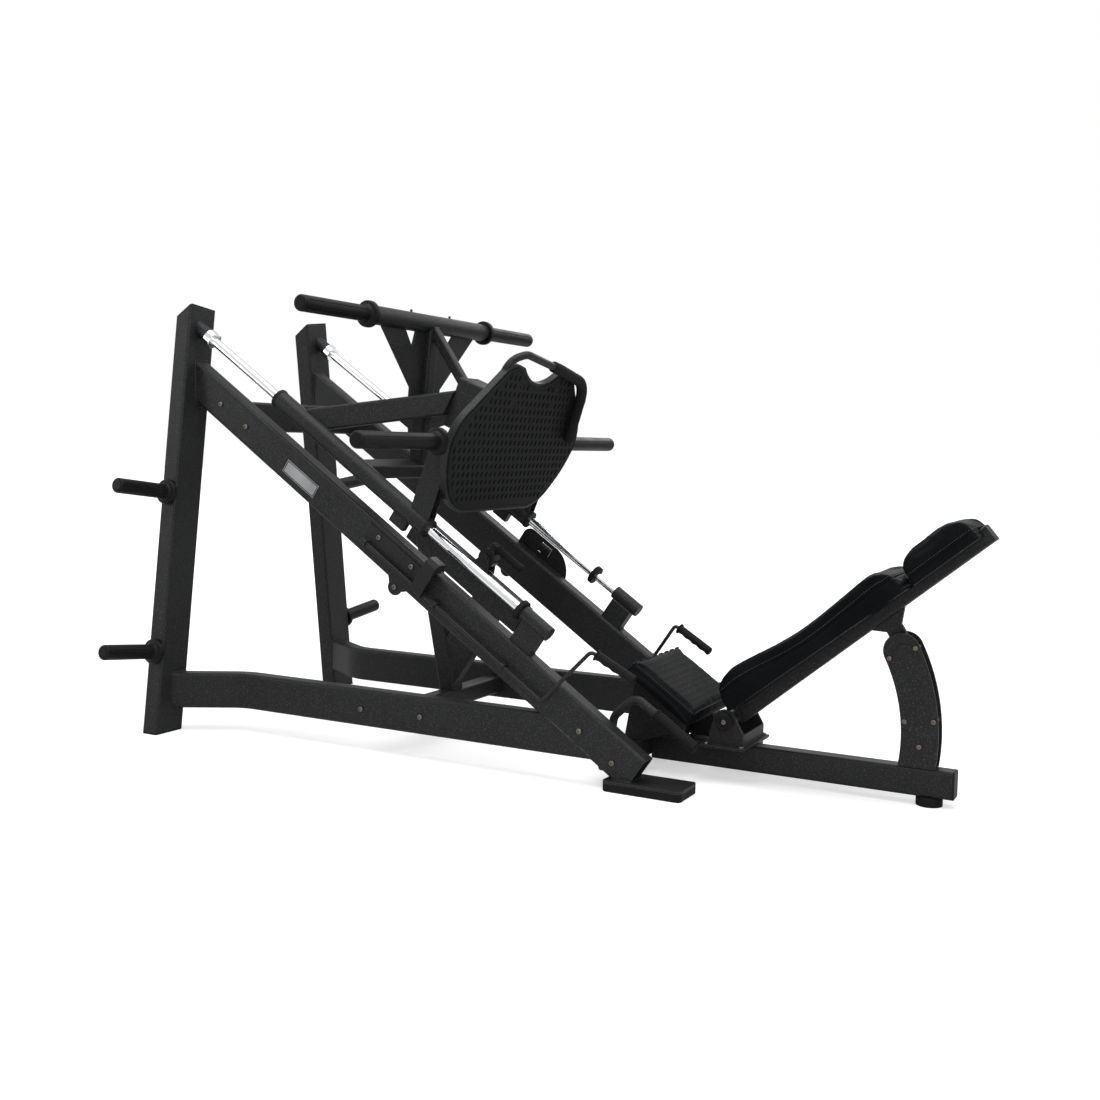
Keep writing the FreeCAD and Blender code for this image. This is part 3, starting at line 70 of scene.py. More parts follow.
# ---- materials ----
class Recipe:
    """A material's node tree with short calls for the nodes that the finishes share."""

    def __init__(self, name):
        self.material = bpy.data.materials.new(name)
        self.material.use_nodes = True
        self.tree = self.material.node_tree
        self.tree.nodes.clear()
        self.shader = self.tree.nodes.new("ShaderNodeBsdfPrincipled")
        output = self.tree.nodes.new("ShaderNodeOutputMaterial")
        self.link(self.shader.outputs["BSDF"], output.inputs["Surface"])
        self.place = self.tree.nodes.new("ShaderNodeTexCoord").outputs["Object"]

    def link(self, source, target):
        self.tree.links.new(source, target)

    def put(self, target, value):
        """Join a socket to a value, which is either a number, a colour or another socket."""
        if isinstance(value, bpy.types.NodeSocket):
            self.link(value, target)
        elif isinstance(value, (tuple, list)) and len(value) == 3 and target.type == "RGBA":
            target.default_value = (*value, 1.0)
        else:
            target.default_value = value

    def node(self, kind, inputs, **settings):
        """New node with its settings and inputs, which go by name or number."""
        node = self.tree.nodes.new("ShaderNode" + kind)
        for name, value in settings.items():
            setattr(node, name, value)
        for name, value in inputs.items():
            self.put(node.inputs[name], value)
        return node

    def stretched(self, scale):
        return self.node("Mapping", {"Vector": self.place, "Scale": scale}).outputs["Vector"]

    def noise(self, scale, detail=3.0, rough=0.5, vector=None, output="Fac"):
        return self.node("TexNoise", {"Vector": vector or self.place, "Scale": scale,
                                      "Detail": detail, "Roughness": rough}).outputs[output]

    def cells(self, scale, feature="F1", vector=None):
        return self.node("TexVoronoi", {"Vector": vector or self.place, "Scale": scale},
                         feature=feature).outputs["Distance"]

    def math(self, operation, first, second=0.0, clamp=False):
        return self.node("Math", {0: first, 1: second}, operation=operation,
                         use_clamp=clamp).outputs[0]

    def steps(self, value, low, high, out_low=0.0, out_high=1.0):
        """Smooth step from one output to the other while the value goes from low to high."""
        return self.node("MapRange", {"Value": value, "From Min": low, "From Max": high,
                                      "To Min": out_low, "To Max": out_high},
                         interpolation_type="SMOOTHSTEP").outputs["Result"]

    def mix(self, share, first, second):
        return self.node("Mix", {0: share, 6: first, 7: second}, data_type="RGBA").outputs[2]

    def rounded(self, radius):
        """Normal with softened edges, and a mask that is 1 on an edge."""
        soft = self.node("Bevel", {"Radius": radius}, samples=4).outputs["Normal"]
        flat = self.node("NewGeometry", {}).outputs["Normal"]
        dot = self.node("VectorMath", {0: soft, 1: flat}, operation="DOT_PRODUCT")
        away = self.math("SUBTRACT", 1.0, dot.outputs["Value"])
        return soft, self.steps(away, 0.02, 0.28)

    def bump(self, height, distance, strength=1.0, normal=None):
        inputs = {"Strength": strength, "Distance": distance, "Height": height}
        if normal is not None:
            inputs["Normal"] = normal
        return self.node("Bump", inputs).outputs["Normal"]

    def finish(self, colour, rough, normal, metallic=0.0, **others):
        self.put(self.shader.inputs["Base Color"], colour)
        self.put(self.shader.inputs["Roughness"], rough)
        self.put(self.shader.inputs["Metallic"], metallic)
        if normal is not None:
            self.put(self.shader.inputs["Normal"], normal)
        for name, value in others.items():
            self.put(self.shader.inputs[name.replace("_", " ")], value)
        return self.material


def scaled(colour, factor):
    return tuple(channel * factor for channel in colour)


def powder_coat(name, dark, light, speck, rough, edge=0.6):
    """Black powder coat: fine orange peel, light specks, and paler edges that are a painted highlight, in patches.
    """
    r = Recipe(name)
    normal, edges = r.rounded(3.0 * MM)
    broad = r.noise(3.5, 4.0)
    base = r.mix(r.steps(broad, 0.3, 0.7), dark, light)
    specks = r.steps(r.noise(340.0, 2.0), 0.57, 0.68)
    base = r.mix(specks, base, speck)
    # Painted highlight: paler colour along the edges, broken into patches by noise.
    painted_edge_highlight = r.math("MULTIPLY", edges, r.steps(r.noise(60.0, 5.0), 0.25, 0.65), clamp=True)
    base = r.mix(r.math("MULTIPLY", painted_edge_highlight, edge), base, (0.10, 0.10, 0.103))
    peel = r.math("ADD", r.noise(420.0, 2.0), r.math("MULTIPLY", r.noise(90.0, 2.0), 0.8))
    bumped = r.bump(peel, 0.35 * MM, 0.55, normal)
    varied = r.math("ADD", r.steps(broad, 0.2, 0.8, rough - 0.05, rough + 0.07),
                    r.math("MULTIPLY", edges, -0.1))
    return r.finish(base, varied, bumped, Specular_IOR_Level=0.20)


def polished(name, colour, rough):
    """Hard chrome: mirror-like, with faint smears and a hint of wear along the rods."""
    r = Recipe(name)
    smears = r.noise(9.0, 4.0)
    base = r.mix(r.steps(smears, 0.4, 0.75, 0.0, 0.35), colour, scaled(colour, 0.85))
    varied = r.steps(smears, 0.3, 0.8, rough, rough * 2.0)
    return r.finish(base, varied, None, metallic=1.0)


def metal(name, colour, rough, scratches, stretch, edge_dark=0.0):
    """Bare or plated metal with fine marks along or round the piece."""
    r = Recipe(name)
    normal, edges = r.rounded(0.8 * MM)
    fine = r.noise(260.0, 5.0, 0.6, r.stretched(stretch))
    smudge = r.noise(14.0, 4.0)
    base = r.mix(r.steps(smudge, 0.35, 0.75, 0.0, 0.6), colour, scaled(colour, 0.78))
    base = r.mix(r.math("MULTIPLY", edges, edge_dark), base, (0.05, 0.05, 0.05))
    varied = r.math("ADD", r.steps(fine, 0.3, 0.7, rough * 0.75, rough * 1.35),
                    r.steps(smudge, 0.4, 0.8, 0.0, rough * 0.5))
    return r.finish(base, varied, r.bump(fine, 0.05 * MM, scratches, normal), metallic=1.0)


def plastic(name, dark, light, rough, peel, edge=0.25):
    """Moulded plastic with a fine spark-eroded grain and faint scuffs."""
    r = Recipe(name)
    normal, edges = r.rounded(1.2 * MM)
    broad = r.noise(9.0, 4.0)
    scuffs = r.steps(r.noise(36.0, 6.0, 0.7, r.stretched((1.0, 0.25, 1.0))), 0.60, 0.72)
    base = r.mix(broad, dark, light)
    base = r.mix(r.math("MULTIPLY", scuffs, 0.35), base, scaled(light, 2.0))
    # Painted highlight: paler colour along the edges.
    base = r.mix(r.math("MULTIPLY", edges, edge), base, (0.06, 0.06, 0.063))
    varied = r.math("ADD", r.steps(broad, 0.3, 0.7, rough - 0.05, rough + 0.06),
                    r.math("MULTIPLY", scuffs, 0.12))
    return r.finish(base, varied, r.bump(r.noise(900.0, 2.0), peel, 0.5, normal),
                    Specular_IOR_Level=0.12)


def rubber(name, dark, light, rough, grain, scale, edge=0.35):
    """Matt rubber or foam: pores, dust in the hollows and a soft sheen, painted along the edges as a highlight."""
    r = Recipe(name)
    normal, edges = r.rounded(1.0 * MM)
    broad = r.noise(7.0, 5.0)
    pores = r.cells(scale)
    base = r.mix(r.steps(broad, 0.3, 0.75), dark, light)
    # Painted highlight: paler colour along the edges.
    base = r.mix(r.math("MULTIPLY", edges, edge), base, scaled(light, 2.4))
    dust = r.steps(r.noise(55.0, 6.0, 0.7), 0.58, 0.80)
    base = r.mix(r.math("MULTIPLY", dust, 0.18), base, (0.05, 0.05, 0.05))
    height = r.math("ADD", pores, r.math("MULTIPLY", r.noise(scale * 0.5, 4.0), 0.6))
    varied = r.steps(broad, 0.2, 0.8, rough - 0.06, rough + 0.06)
    return r.finish(base, varied, r.bump(height, grain, 0.6, normal),
                    Specular_IOR_Level=0.10)


def vinyl(name, dark, light):
    """Upholstery vinyl: pebbled grain with creases between the pebbles, painted shade in the creases, and a soft
    gloss.
    """
    r = Recipe(name)
    broad = r.noise(5.0, 4.0)
    ripple = r.noise(120.0, 2.0, output="Color")
    warped = r.node("Mix", {0: 0.004, 4: r.place, 5: ripple}, data_type="VECTOR")
    pebbles = r.cells(430.0, "SMOOTH_F1", warped.outputs[1])
    creases_and_shade = r.steps(pebbles, 0.38, 0.75)
    base = r.mix(r.steps(broad, 0.3, 0.7), dark, light)
    # Painted shade: darker colour in the creases between the pebbles.
    base = r.mix(r.math("MULTIPLY", creases_and_shade, 0.5), base, scaled(dark, 0.35))
    base = r.mix(r.math("MULTIPLY", r.steps(r.noise(24.0, 5.0, 0.65), 0.56, 0.75), 0.25),
                 base, scaled(light, 1.8))
    height = r.math("SUBTRACT", r.math("MULTIPLY", r.noise(26.0, 3.0), 1.2), creases_and_shade)
    rough = r.math("ADD", r.steps(broad, 0.25, 0.75, 0.42, 0.52),
                   r.math("MULTIPLY", creases_and_shade, 0.18))
    return r.finish(base, rough, r.bump(height, 0.25 * MM, 0.7), Specular_IOR_Level=0.04)


def thread(name, colour):
    """Twisted sewing thread."""
    r = Recipe(name)
    twist = r.noise(900.0, 1.0, 0.5, r.stretched((1.0, 3.0, 1.0)))
    base = r.mix(twist, colour, scaled(colour, 1.8))
    return r.finish(base, 0.75, r.bump(twist, 0.2 * MM, 0.6), Sheen_Weight=0.3)


def floor_paint(name, colour, glow):
    """Plain pale floor with a hardly visible mottle, lifted for the camera, more so far away."""
    r = Recipe(name)
    base = r.mix(r.steps(r.noise(0.8, 3.0), 0.3, 0.7), colour, scaled(colour, 0.985))
    seen = r.node("LightPath", {}).outputs["Is Camera Ray"]
    distance = r.node("VectorMath", {0: r.place}, operation="LENGTH").outputs["Value"]
    lift = r.math("MULTIPLY", seen, r.steps(distance, 1.8, 6.0, glow, 1.0))
    return r.finish(base, 0.65, r.bump(r.noise(30.0, 2.0), 0.1 * MM, 0.1),
                    Specular_IOR_Level=0.0, Emission_Color=(1.0, 1.0, 1.0),
                    Emission_Strength=lift)


MATERIALS = {
    "black_paint": powder_coat("black_paint", (0.0080, 0.0083, 0.0090), (0.0115, 0.0119, 0.0127),
                               (0.046, 0.047, 0.049), 0.46),
    "lever_steel": powder_coat("lever_steel", (0.009, 0.009, 0.010), (0.014, 0.014, 0.015),
                               (0.030, 0.030, 0.032), 0.34, 0.7),
    "chrome": polished("chrome", (0.90, 0.91, 0.93), 0.08),
    "bright_steel": metal("bright_steel", (0.56, 0.57, 0.58), 0.26, 0.6, (1.0, 12.0, 1.0), 0.3),
    "zinc": metal("zinc", (0.17, 0.15, 0.115), 0.36, 0.6, (4.0, 4.0, 4.0), 0.5),
    "badge": metal("badge", (0.33, 0.335, 0.345), 0.40, 1.0, (0.4, 8.0, 9.0), 0.2),
    "black_plastic": plastic("black_plastic", (0.007, 0.007, 0.0078), (0.012, 0.012, 0.013), 0.50,
                             0.15 * MM),
    "horn_plastic": plastic("horn_plastic", (0.0035, 0.0035, 0.0042), (0.007, 0.007, 0.0078), 0.40,
                            0.10 * MM),
    "black_rubber": rubber("black_rubber", (0.006, 0.006, 0.0065), (0.010, 0.010, 0.0105), 0.62,
                           0.15 * MM, 700.0),
    "mat_rubber": rubber("mat_rubber", (0.0090, 0.0096, 0.0098), (0.0135, 0.014, 0.0145), 0.66,
                         0.18 * MM, 620.0),
    "foam": rubber("foam", (0.008, 0.008, 0.009), (0.014, 0.014, 0.015), 0.78, 0.40 * MM, 520.0),
    "upholstery": vinyl("upholstery", (0.0026, 0.0030, 0.0036), (0.0048, 0.0053, 0.0060)),
}
THREAD = thread("thread", (0.016, 0.016, 0.017))
# Darker rubber for the crescents on the mat: painted shade, as if their hollows were in shadow.
CRESCENT_PAINTED_SHADE = rubber("crescent_painted_shade", (0.0010, 0.0010, 0.0011), (0.0018, 0.0018, 0.0019), 0.60,
                0.05 * MM, 620.0, 0.0)


def dress_frame():
    """Give every CAD node the finish of its own slot."""
    for row in frame["record"]["subparts"]:
        node = frame["nodes"][row["node"]]
        material = MATERIALS[row["material_slot"]]
        if not node.material_slots:
            node.data.materials.append(material)
        for slot in node.material_slots:
            slot.material = material


# ---- helpers ----
def points_of(node):
    return [vertex.co for vertex in frame["nodes"][node].data.vertices]


def span(node, axis):
    """Lowest and highest reach of a CAD node along an axis, from the frame's origin."""
    reach = [axis.dot(point) for point in points_of(node)]
    return min(reach), max(reach)


def middle_of(values):
    return (min(values) + max(values)) / 2


def linked(name, data):
    """New object of the scene."""
    thing = bpy.data.objects.new(name, data)
    bpy.context.scene.collection.objects.link(thing)
    return thing


def piece_from(name, mesh, slot, body, material=None, smooth=True):
    """Link a mesh as a piece that rides on a body and takes its finish from a slot."""
    mesh.materials.clear()
    mesh.materials.append(material or MATERIALS[slot])
    mesh.validate()
    for face in mesh.polygons:
        face.use_smooth = smooth
    piece = linked(name, mesh)
    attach(piece, body)
    return piece


def mesh_of(name, build):
    """Mesh made by a function that fills a bmesh."""
    work = bmesh.new()
    build(work)
    bmesh.ops.recalc_face_normals(work, faces=work.faces[:])
    mesh = bpy.data.meshes.new(name)
    work.to_mesh(mesh)
    work.free()
    return mesh


def tree_of(mesh):
    return BVHTree.FromPolygons([vertex.co for vertex in mesh.vertices],
                                [tuple(face.vertices) for face in mesh.polygons])


def bridge(work, rings):
    """Faces between each ring of vertices and the next."""
    for first, second in zip(rings, rings[1:]):
        for i in range(len(first)):
            j = (i + 1) % len(first)
            work.faces.new((first[i], first[j], second[j], second[i]))


def side_vector(axis):
    """Unit vector square to an axis, as near upright as it can be."""
    guide = X_AXIS if abs(axis.normalized().z) > 0.95 else Z_AXIS
    return (guide - axis.normalized() * guide.dot(axis.normalized())).normalized()


def sweep(work, points, radius, sides=16, closed=False, start_up=None):
    """Skin a round section along points; radius is a function of (index, angle)."""
    count = len(points)
    rings = []
    up = None
    for index, point in enumerate(points):
        before = points[index - 1] if index or closed else points[0]
        after = points[(index + 1) % count] if index < count - 1 or closed else points[-1]
        tangent = (after - before).normalized()
        if up is None:
            up = start_up or side_vector(tangent)
        up = (up - tangent * up.dot(tangent)).normalized()
        across = tangent.cross(up)
        ring = []
        for step in range(sides):
            turn = 2 * math.pi * step / sides
            arm = up * math.cos(turn) + across * math.sin(turn)
            ring.append(work.verts.new(point + arm * radius(index, turn)))
        rings.append(ring)
    bridge(work, rings)
    if closed:
        bridge(work, [rings[-1], best_match(rings[-1], rings[0])])
    else:
        work.faces.new(rings[0][::-1])
        work.faces.new(rings[-1])


def best_match(ring, other):
    """The other ring, turned so that its first vertex is the nearest to this ring's first."""
    nearest = min(range(len(other)), key=lambda i: (other[i].co - ring[0].co).length)
    return other[nearest:] + other[:nearest]


def lathe(work, profile, origin, axis, sides=32):
    """Solid of revolution: profile holds (distance along the axis, radius) from end to end."""
    axis = axis.normalized()
    side = side_vector(axis)
    across = axis.cross(side)
    rings = []
    for along, radius in profile:
        centre = origin + axis * along
        if radius < 1e-6:
            rings.append([work.verts.new(centre)])
            continue
        rings.append([work.verts.new(centre + (side * math.cos(2 * math.pi * i / sides)
                                               + across * math.sin(2 * math.pi * i / sides))
                                     * radius) for i in range(sides)])
    for first, second in zip(rings, rings[1:]):
        for i in range(sides):
            j = (i + 1) % sides
            if len(first) == 1:
                work.faces.new((first[0], second[i], second[j]))
            elif len(second) == 1:
                work.faces.new((first[i], second[0], first[j]))
            else:
                work.faces.new((first[i], second[i], second[j], first[j]))


def rounded_path(corners, bends, step):
    """Points along straight stretches with a round bend of its own radius at each corner."""
    points = [corners[0].copy()]
    for before, corner, after, bend in zip(corners, corners[1:], corners[2:], bends):
        back, forward = (before - corner).normalized(), (after - corner).normalized()
        half = back.angle(forward) / 2
        reach = bend / math.tan(half)
        centre = corner + (back + forward).normalized() * (bend / math.sin(half))
        first, last = corner + back * reach - centre, corner + forward * reach - centre
        turn = first.angle(last)
        axis = first.cross(last).normalized()
        count = max(3, int(turn * bend / step))
        for index in range(count + 1):
            points.append(centre + Matrix.Rotation(turn * index / count, 3, axis) @ first)
    points.append(corners[-1].copy())
    return resampled(points, step)


def resampled(points, step):
    """Evenly spaced points along a polyline, ends kept."""
    lengths = [0.0]
    for first, second in zip(points, points[1:]):
        lengths.append(lengths[-1] + (second - first).length)
    count = max(2, int(round(lengths[-1] / step)))
    result = []
    position = 0
    for index in range(count + 1):
        target = lengths[-1] * index / count
        while position < len(points) - 2 and lengths[position + 1] < target:
            position += 1
        part = max(lengths[position + 1] - lengths[position], 1e-9)
        share = (target - lengths[position]) / part
        result.append(points[position].lerp(points[position + 1], share))
    return result


# ---- upholstery ----
VOXEL = 5.5 * MM
PRESSURE = 4.0
LAST_FRAME = 20
START_INSET = 5.0 * MM     # the pads swell, so they start smaller
BOARD = 12.0 * MM          # height above the pad's back that is stapled to its board
TUBE_CHANNEL = (36.0 * MM, 23.0 * MM)     # half width and roof of the groove over the tube
CHANNEL_MARGIN = 14.0 * MM                # foam this near the groove is held too
BACK_SEAM_DROP, SEAT_SEAM_DROP = 36.0 * MM, 15.0 * MM     # from the pad's top
HEAD_SEAM_RISE = 26.0 * MM                                # from the pad's back
BACK_SWELL, HEAD_SWELL, SEAT_SWELL = 7.0 * MM, 6.0 * MM, 6.0 * MM
SEAM_DEPTH, SEAM_WIDTH = 2.2 * MM, 4.0 * MM
WELT_RADIUS = 2.6 * MM
WELT_STEP, STITCH_STEP = 8.0 * MM, 2.0 * MM
STITCH_PITCH, STITCH_LENGTH = 6.0 * MM, 4.0 * MM


class PadAxes:
    """A pad's own axes: along, across (y) and up, from an origin."""

    def __init__(self, origin, along, up):
        self.origin, self.along, self.up = origin, along, up

    def local(self, point):
        offset = point - self.origin
        return offset.dot(self.along), offset.y, offset.dot(self.up)

    def world(self, along, across, up):
        return self.origin + self.along * along + Y_AXIS * across + self.up * up


def evaluated_mesh(piece):
    graph = bpy.context.evaluated_depsgraph_get()
    graph.update()
    return bpy.data.meshes.new_from_object(piece.evaluated_get(graph))


def remeshed(node):
    """Even quad skin over a CAD pad, as a loose work object."""
    mesh = frame["nodes"][node].data.copy()
    work = bmesh.new()
    work.from_mesh(mesh)
    bmesh.ops.remove_doubles(work, verts=work.verts[:], dist=0.01 * MM)
    work.to_mesh(mesh)
    work.free()
    piece = linked("work_" + node, mesh)
    remesh = piece.modifiers.new("remesh", "REMESH")
    remesh.mode = "VOXEL"
    remesh.voxel_size = VOXEL
    piece.data = evaluated_mesh(piece)
    piece.modifiers.clear()
    return piece


def held_share(place, low_up, channel):
    """How firmly a point is held: 1 on the board and round the tube's channel, 0 on free foam."""
    along, across, up = place
    board = 1.0 - min(1.0, max(0.0, (up - low_up(along)) / BOARD - 0.3) / 0.7)
    if channel is None:
        return board
    half_width, roof = channel
    beside = max(abs(across) - half_width, 0.0)
    above = max(up - roof, 0.0)
    near = 1.0 - min(1.0, math.hypot(beside, above) / CHANNEL_MARGIN)
    return max(board, near if up < roof + CHANNEL_MARGIN else 0.0)


def inflate(piece, axes, low_up, channel, cap):
    """Cloth simulation with pressure inside; the result is written into the mesh."""
    mesh = piece.data
    group = piece.vertex_groups.new(name="held")
    start = []
    for vertex in mesh.vertices:
        held = held_share(axes.local(vertex.co), low_up, channel)
        group.add([vertex.index], held, "REPLACE")
        vertex.co = vertex.co - vertex.normal * START_INSET * (1.0 - held)
        start.append(vertex.co.copy())
    cloth = piece.modifiers.new("cloth", "CLOTH")
    settings = cloth.settings
    settings.quality = 5
    settings.mass = 0.25
    settings.tension_stiffness = 12.0
    settings.compression_stiffness = 12.0
    settings.shear_stiffness = 8.0
    settings.bending_stiffness = 0.6
    settings.use_pressure = True
    settings.uniform_pressure_force = PRESSURE
    settings.vertex_group_mass = "held"
    settings.pin_stiffness = 5.0
    settings.effector_weights.gravity = 0.0
    cloth.collision_settings.use_collision = False
    cloth.point_cache.frame_start = 1
    cloth.point_cache.frame_end = LAST_FRAME
    scene = bpy.context.scene
    for step in range(1, LAST_FRAME + 1):
        scene.frame_set(step)
    result = evaluated_mesh(piece)
    piece.modifiers.clear()
    for vertex, first, last in zip(mesh.vertices, start, result.vertices):
        move = last.co - first
        if move.length > cap:
            move = move * (cap / move.length)
        vertex.co = first + move
    bpy.data.meshes.remove(result)
    scene.frame_set(1)


def subdivided(piece):
    piece.modifiers.new("fine", "SUBSURF").levels = 1
    mesh = evaluated_mesh(piece)
    piece.modifiers.clear()
    return mesh


def edge_heights(mesh, axes, step=10.0 * MM):
    """Highest and lowest height of the pad, over its length, as functions of `along`."""
    tops, lows = {}, {}
    for vertex in mesh.vertices:
        along, _, up = axes.local(vertex.co)
        key = round(along / step)
        tops[key] = max(tops.get(key, up), up)
        lows[key] = min(lows.get(key, up), up)

    def reader(table):
        first, last = min(table), max(table)

        def read(along):
            place = min(max(along / step, first), last - 1e-6)
            key = math.floor(place)
            a, b = table.get(key, 0.0), table.get(key + 1, table.get(key, 0.0))
            return a + (b - a) * (place - key)
        return read
    return reader(tops), reader(lows)


def rim_places(low, high, half_width, corner, step):
    """Points and outward directions round a rectangle with round corners, in (along, across)."""
    centre_lines = [(high - corner, half_width - corner, 0.0),
                    (low + corner, half_width - corner, 0.5 * math.pi),
                    (low + corner, -half_width + corner, math.pi),
                    (high - corner, -half_width + corner, 1.5 * math.pi)]
    outline = []
    for along, across, turn in centre_lines:
        for index in range(9):
            angle = turn + 0.5 * math.pi * index / 8
            direction = Vector((math.cos(angle), math.sin(angle), 0))
            outline.append((Vector((along, across, 0)) + direction * corner, direction))
    closed = [place for place, _ in outline] + [outline[0][0]]
    ways = [way for _, way in outline] + [outline[0][1]]
    result = []
    for (first, second), (way, next_way) in zip(zip(closed, closed[1:]), zip(ways, ways[1:])):
        count = max(1, int(round((second - first).length / step)))
        for index in range(count):
            share = index / count
            result.append((first.lerp(second, share), way.lerp(next_way, share).normalized()))
    return result


def seam_points(mesh, axes, seam_up, size, step, lift=0.0):
    """Places on the pad's skin all round it at the seam's height, and their outward ways."""
    tree = tree_of(mesh)
    low, high, half_width = size
    points = []
    for place, way in rim_places(low, high, half_width, 34.0 * MM, step):
        along, across = place.x, place.y
        aim = axes.world(along, across, seam_up(along) + lift)
        outward = axes.along * way.x + Y_AXIS * way.y
        hit, normal, _, _ = tree.ray_cast(aim + outward * 60 * MM, -outward, 110 * MM)
        if hit is not None:
            points.append((hit, normal))
    return points


def smoothed(points, rounds=3):
    for _ in range(rounds):
        count = len(points)
        points = [(points[i - 1] + points[i] * 2 + points[(i + 1) % count]) / 4
                  for i in range(count)]
    return points


def pressed_seam(mesh, axes, seam_up, depth, width, limits):
    """Pull the skin in along the seam."""
    low, high, half_width = limits
    inner = Vector((low + 30 * MM, high - 30 * MM, 0))
    moves = []
    for vertex in mesh.vertices:
        along, across, up = axes.local(vertex.co)
        outer = max(abs(across) - (half_width - 26 * MM), inner.x - along, along - inner.y)
        if outer < 0:
            continue
        gap = (up - seam_up(along)) / width
        moves.append((vertex, vertex.normal * (-depth * math.exp(-gap * gap))))
    for vertex, move in moves:
        vertex.co += move


def stitches(work, points, normals, pitch, length):
    """Short thread bars laid along the points."""
    travelled = 0.0
    for index in range(len(points)):
        first, second = points[index], points[(index + 1) % len(points)]
        travelled += (second - first).length
        if travelled < pitch:
            continue
        travelled = 0.0
        tangent = (second - first).normalized()
        middle = first + normals[index] * 0.2 * MM
        bar = [middle + tangent * (length * share) for share in (-0.5, -0.25, 0.25, 0.5)]
        sizes = (0.25 * MM, 0.6 * MM, 0.6 * MM, 0.25 * MM)
        sweep(work, bar, lambda i, _, sizes=sizes: sizes[i], 6)


def upholster(node, body, axes, seam_drop, channel, cap, from_top=True):
    """One pad: inflated skin with a pressed seam, piping round it and a line of stitches.

    The seam lies seam_drop below the top, or above the back where from_top is False.
    """
    name = node.replace("_pad", "_cushion")
    piece = remeshed(node)
    low_along, high_along = span(node, axes.along)
    base = axes.origin.dot(axes.along)
    low_along, high_along = low_along - base, high_along - base
    half_width = span(node, Y_AXIS)[1]
    top, bottom = edge_heights(piece.data, axes)
    inflate(piece, axes, bottom, channel, cap)
    mesh = subdivided(piece)
    bpy.data.objects.remove(piece)
    first, last = low_along + 46 * MM, high_along - 40 * MM

    def seam_up(along):
        place = min(max(along, first), last)
        return top(place) - seam_drop if from_top else bottom(place) + seam_drop

    size = (low_along, high_along, half_width)
    pressed_seam(mesh, axes, seam_up, SEAM_DEPTH, SEAM_WIDTH, size)
    cushion = piece_from(name, mesh, "upholstery", body)
    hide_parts(node)
    rim = seam_points(mesh, axes, seam_up, size, WELT_STEP)
    line = smoothed([point for point, _ in rim])

    def welt(work):
        sweep(work, line, lambda index, turn: WELT_RADIUS, 10, closed=True)

    piece_from(name + "_piping", mesh_of(name + "_piping", welt), "upholstery", body)
    side = 7 * MM if from_top else 6 * MM
    rows = seam_points(mesh, axes, seam_up, size, STITCH_STEP, side)

    def sew(work):
        stitches(work, [point for point, _ in rows], [normal for _, normal in rows],
                 STITCH_PITCH, STITCH_LENGTH)

    piece_from(name + "_stitches", mesh_of(name + "_stitches", sew), "upholstery", body, THREAD)
    return cushion


def make_pads():
    """Back, head and seat cushions in place of the plain CAD pads."""
    back = PadAxes(PIVOT, BACK_ALONG, BACK_UP)
    upholster("back_pad", "backrest", back, BACK_SEAM_DROP, TUBE_CHANNEL, BACK_SWELL)
    upholster("head_pad", "backrest", back, HEAD_SEAM_RISE, TUBE_CHANNEL, HEAD_SWELL,
              from_top=False)
    seat = PadAxes(Vector((0, 0, 0)), DOWN, OUT)
    upholster("seat_pad", "frame", seat, SEAT_SEAM_DROP, None, SEAT_SWELL)


# ---- grips ----
GRIP_RADIUS, GRIP_DISC_RADIUS = 14.0 * MM, 18.5 * MM
GRIP_DISC, GRIP_CROWN = 5.0 * MM, 6.0 * MM     # lengths of the root's disc and of the round end
FINGERS = 4
FINGER_DEPTH = 2.6 * MM
RIB_HEIGHT, RIB_PITCH = 0.25 * MM, 4.0 * MM


def finger_grip(name, node, body, start, end, below):
    """Hand grip with four finger hollows on its lower side, a disc at its root, a round end."""
    axis = (end - start).normalized()
    length = (end - start).length
    count = 80
    points = [start + axis * (length * index / count) for index in range(count + 1)]

    def radius(index, turn):
        along = length * index / count
        if along < GRIP_DISC:
            return GRIP_DISC_RADIUS - 1.5 * MM * max(0.0, along / GRIP_DISC - 0.5)
        if along > length - GRIP_CROWN:
            left = (along - length + GRIP_CROWN) / GRIP_CROWN
            return max(1.0 * MM, GRIP_RADIUS * math.sqrt(max(0.0, 1.0 - left * left)))
        share = (along - GRIP_DISC) / (length - GRIP_DISC - GRIP_CROWN)
        hollow = (0.5 - 0.5 * math.cos(2 * math.pi * FINGERS * share)) * FINGER_DEPTH
        under = max(0.0, math.cos(turn))
        ribs = RIB_HEIGHT * math.cos(2 * math.pi * along / RIB_PITCH) * (1 - under)
        return GRIP_RADIUS - hollow * under ** 1.5 + ribs

    mesh = mesh_of(name, lambda work: sweep(work, points, radius, 32, start_up=below))
    piece = piece_from(name, mesh, "black_rubber", body)
    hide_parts(node)
    return piece


def axis_of(node, guess):
    """Two end points of a round CAD piece that runs along a known direction."""
    low, high = span(node, guess)
    vertices = points_of(node)

    def centre(limit):
        ring = [co for co in vertices if abs(co.dot(guess) - limit) < 9 * MM]
        middle = Vector([middle_of([co[i] for co in ring]) for i in range(3)])
        return middle + guess * (limit - middle.dot(guess))
    return centre(low), centre(high)


def make_lever_grips():
    """Finger grips on both release levers, whose ends lean a little towards the middle."""
    for side, name in ((-1, "left"), (1, "right")):
        node = name + "_release_grip"
        low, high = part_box(node)
        middle_y = (low.y + high.y) / 2
        tilt = (DOWN * 0.136 + Y_AXIS * (-side * 0.0154) + OUT * 0.0107).normalized()
        start, end = axis_of(node, tilt)
        start.y = middle_y + side * 7.7 * MM
        end.y = middle_y - side * 7.7 * MM
        finger_grip(name + "_lever_grip", node, name + "_lever", start, end, -OUT)


def make_stop_grip():
    """Finger grip on the stop lever."""
    start, end = axis_of("stop_grip", DOWN)
    finger_grip("stop_lever_grip", "stop_grip", "stop", start, end, -OUT)


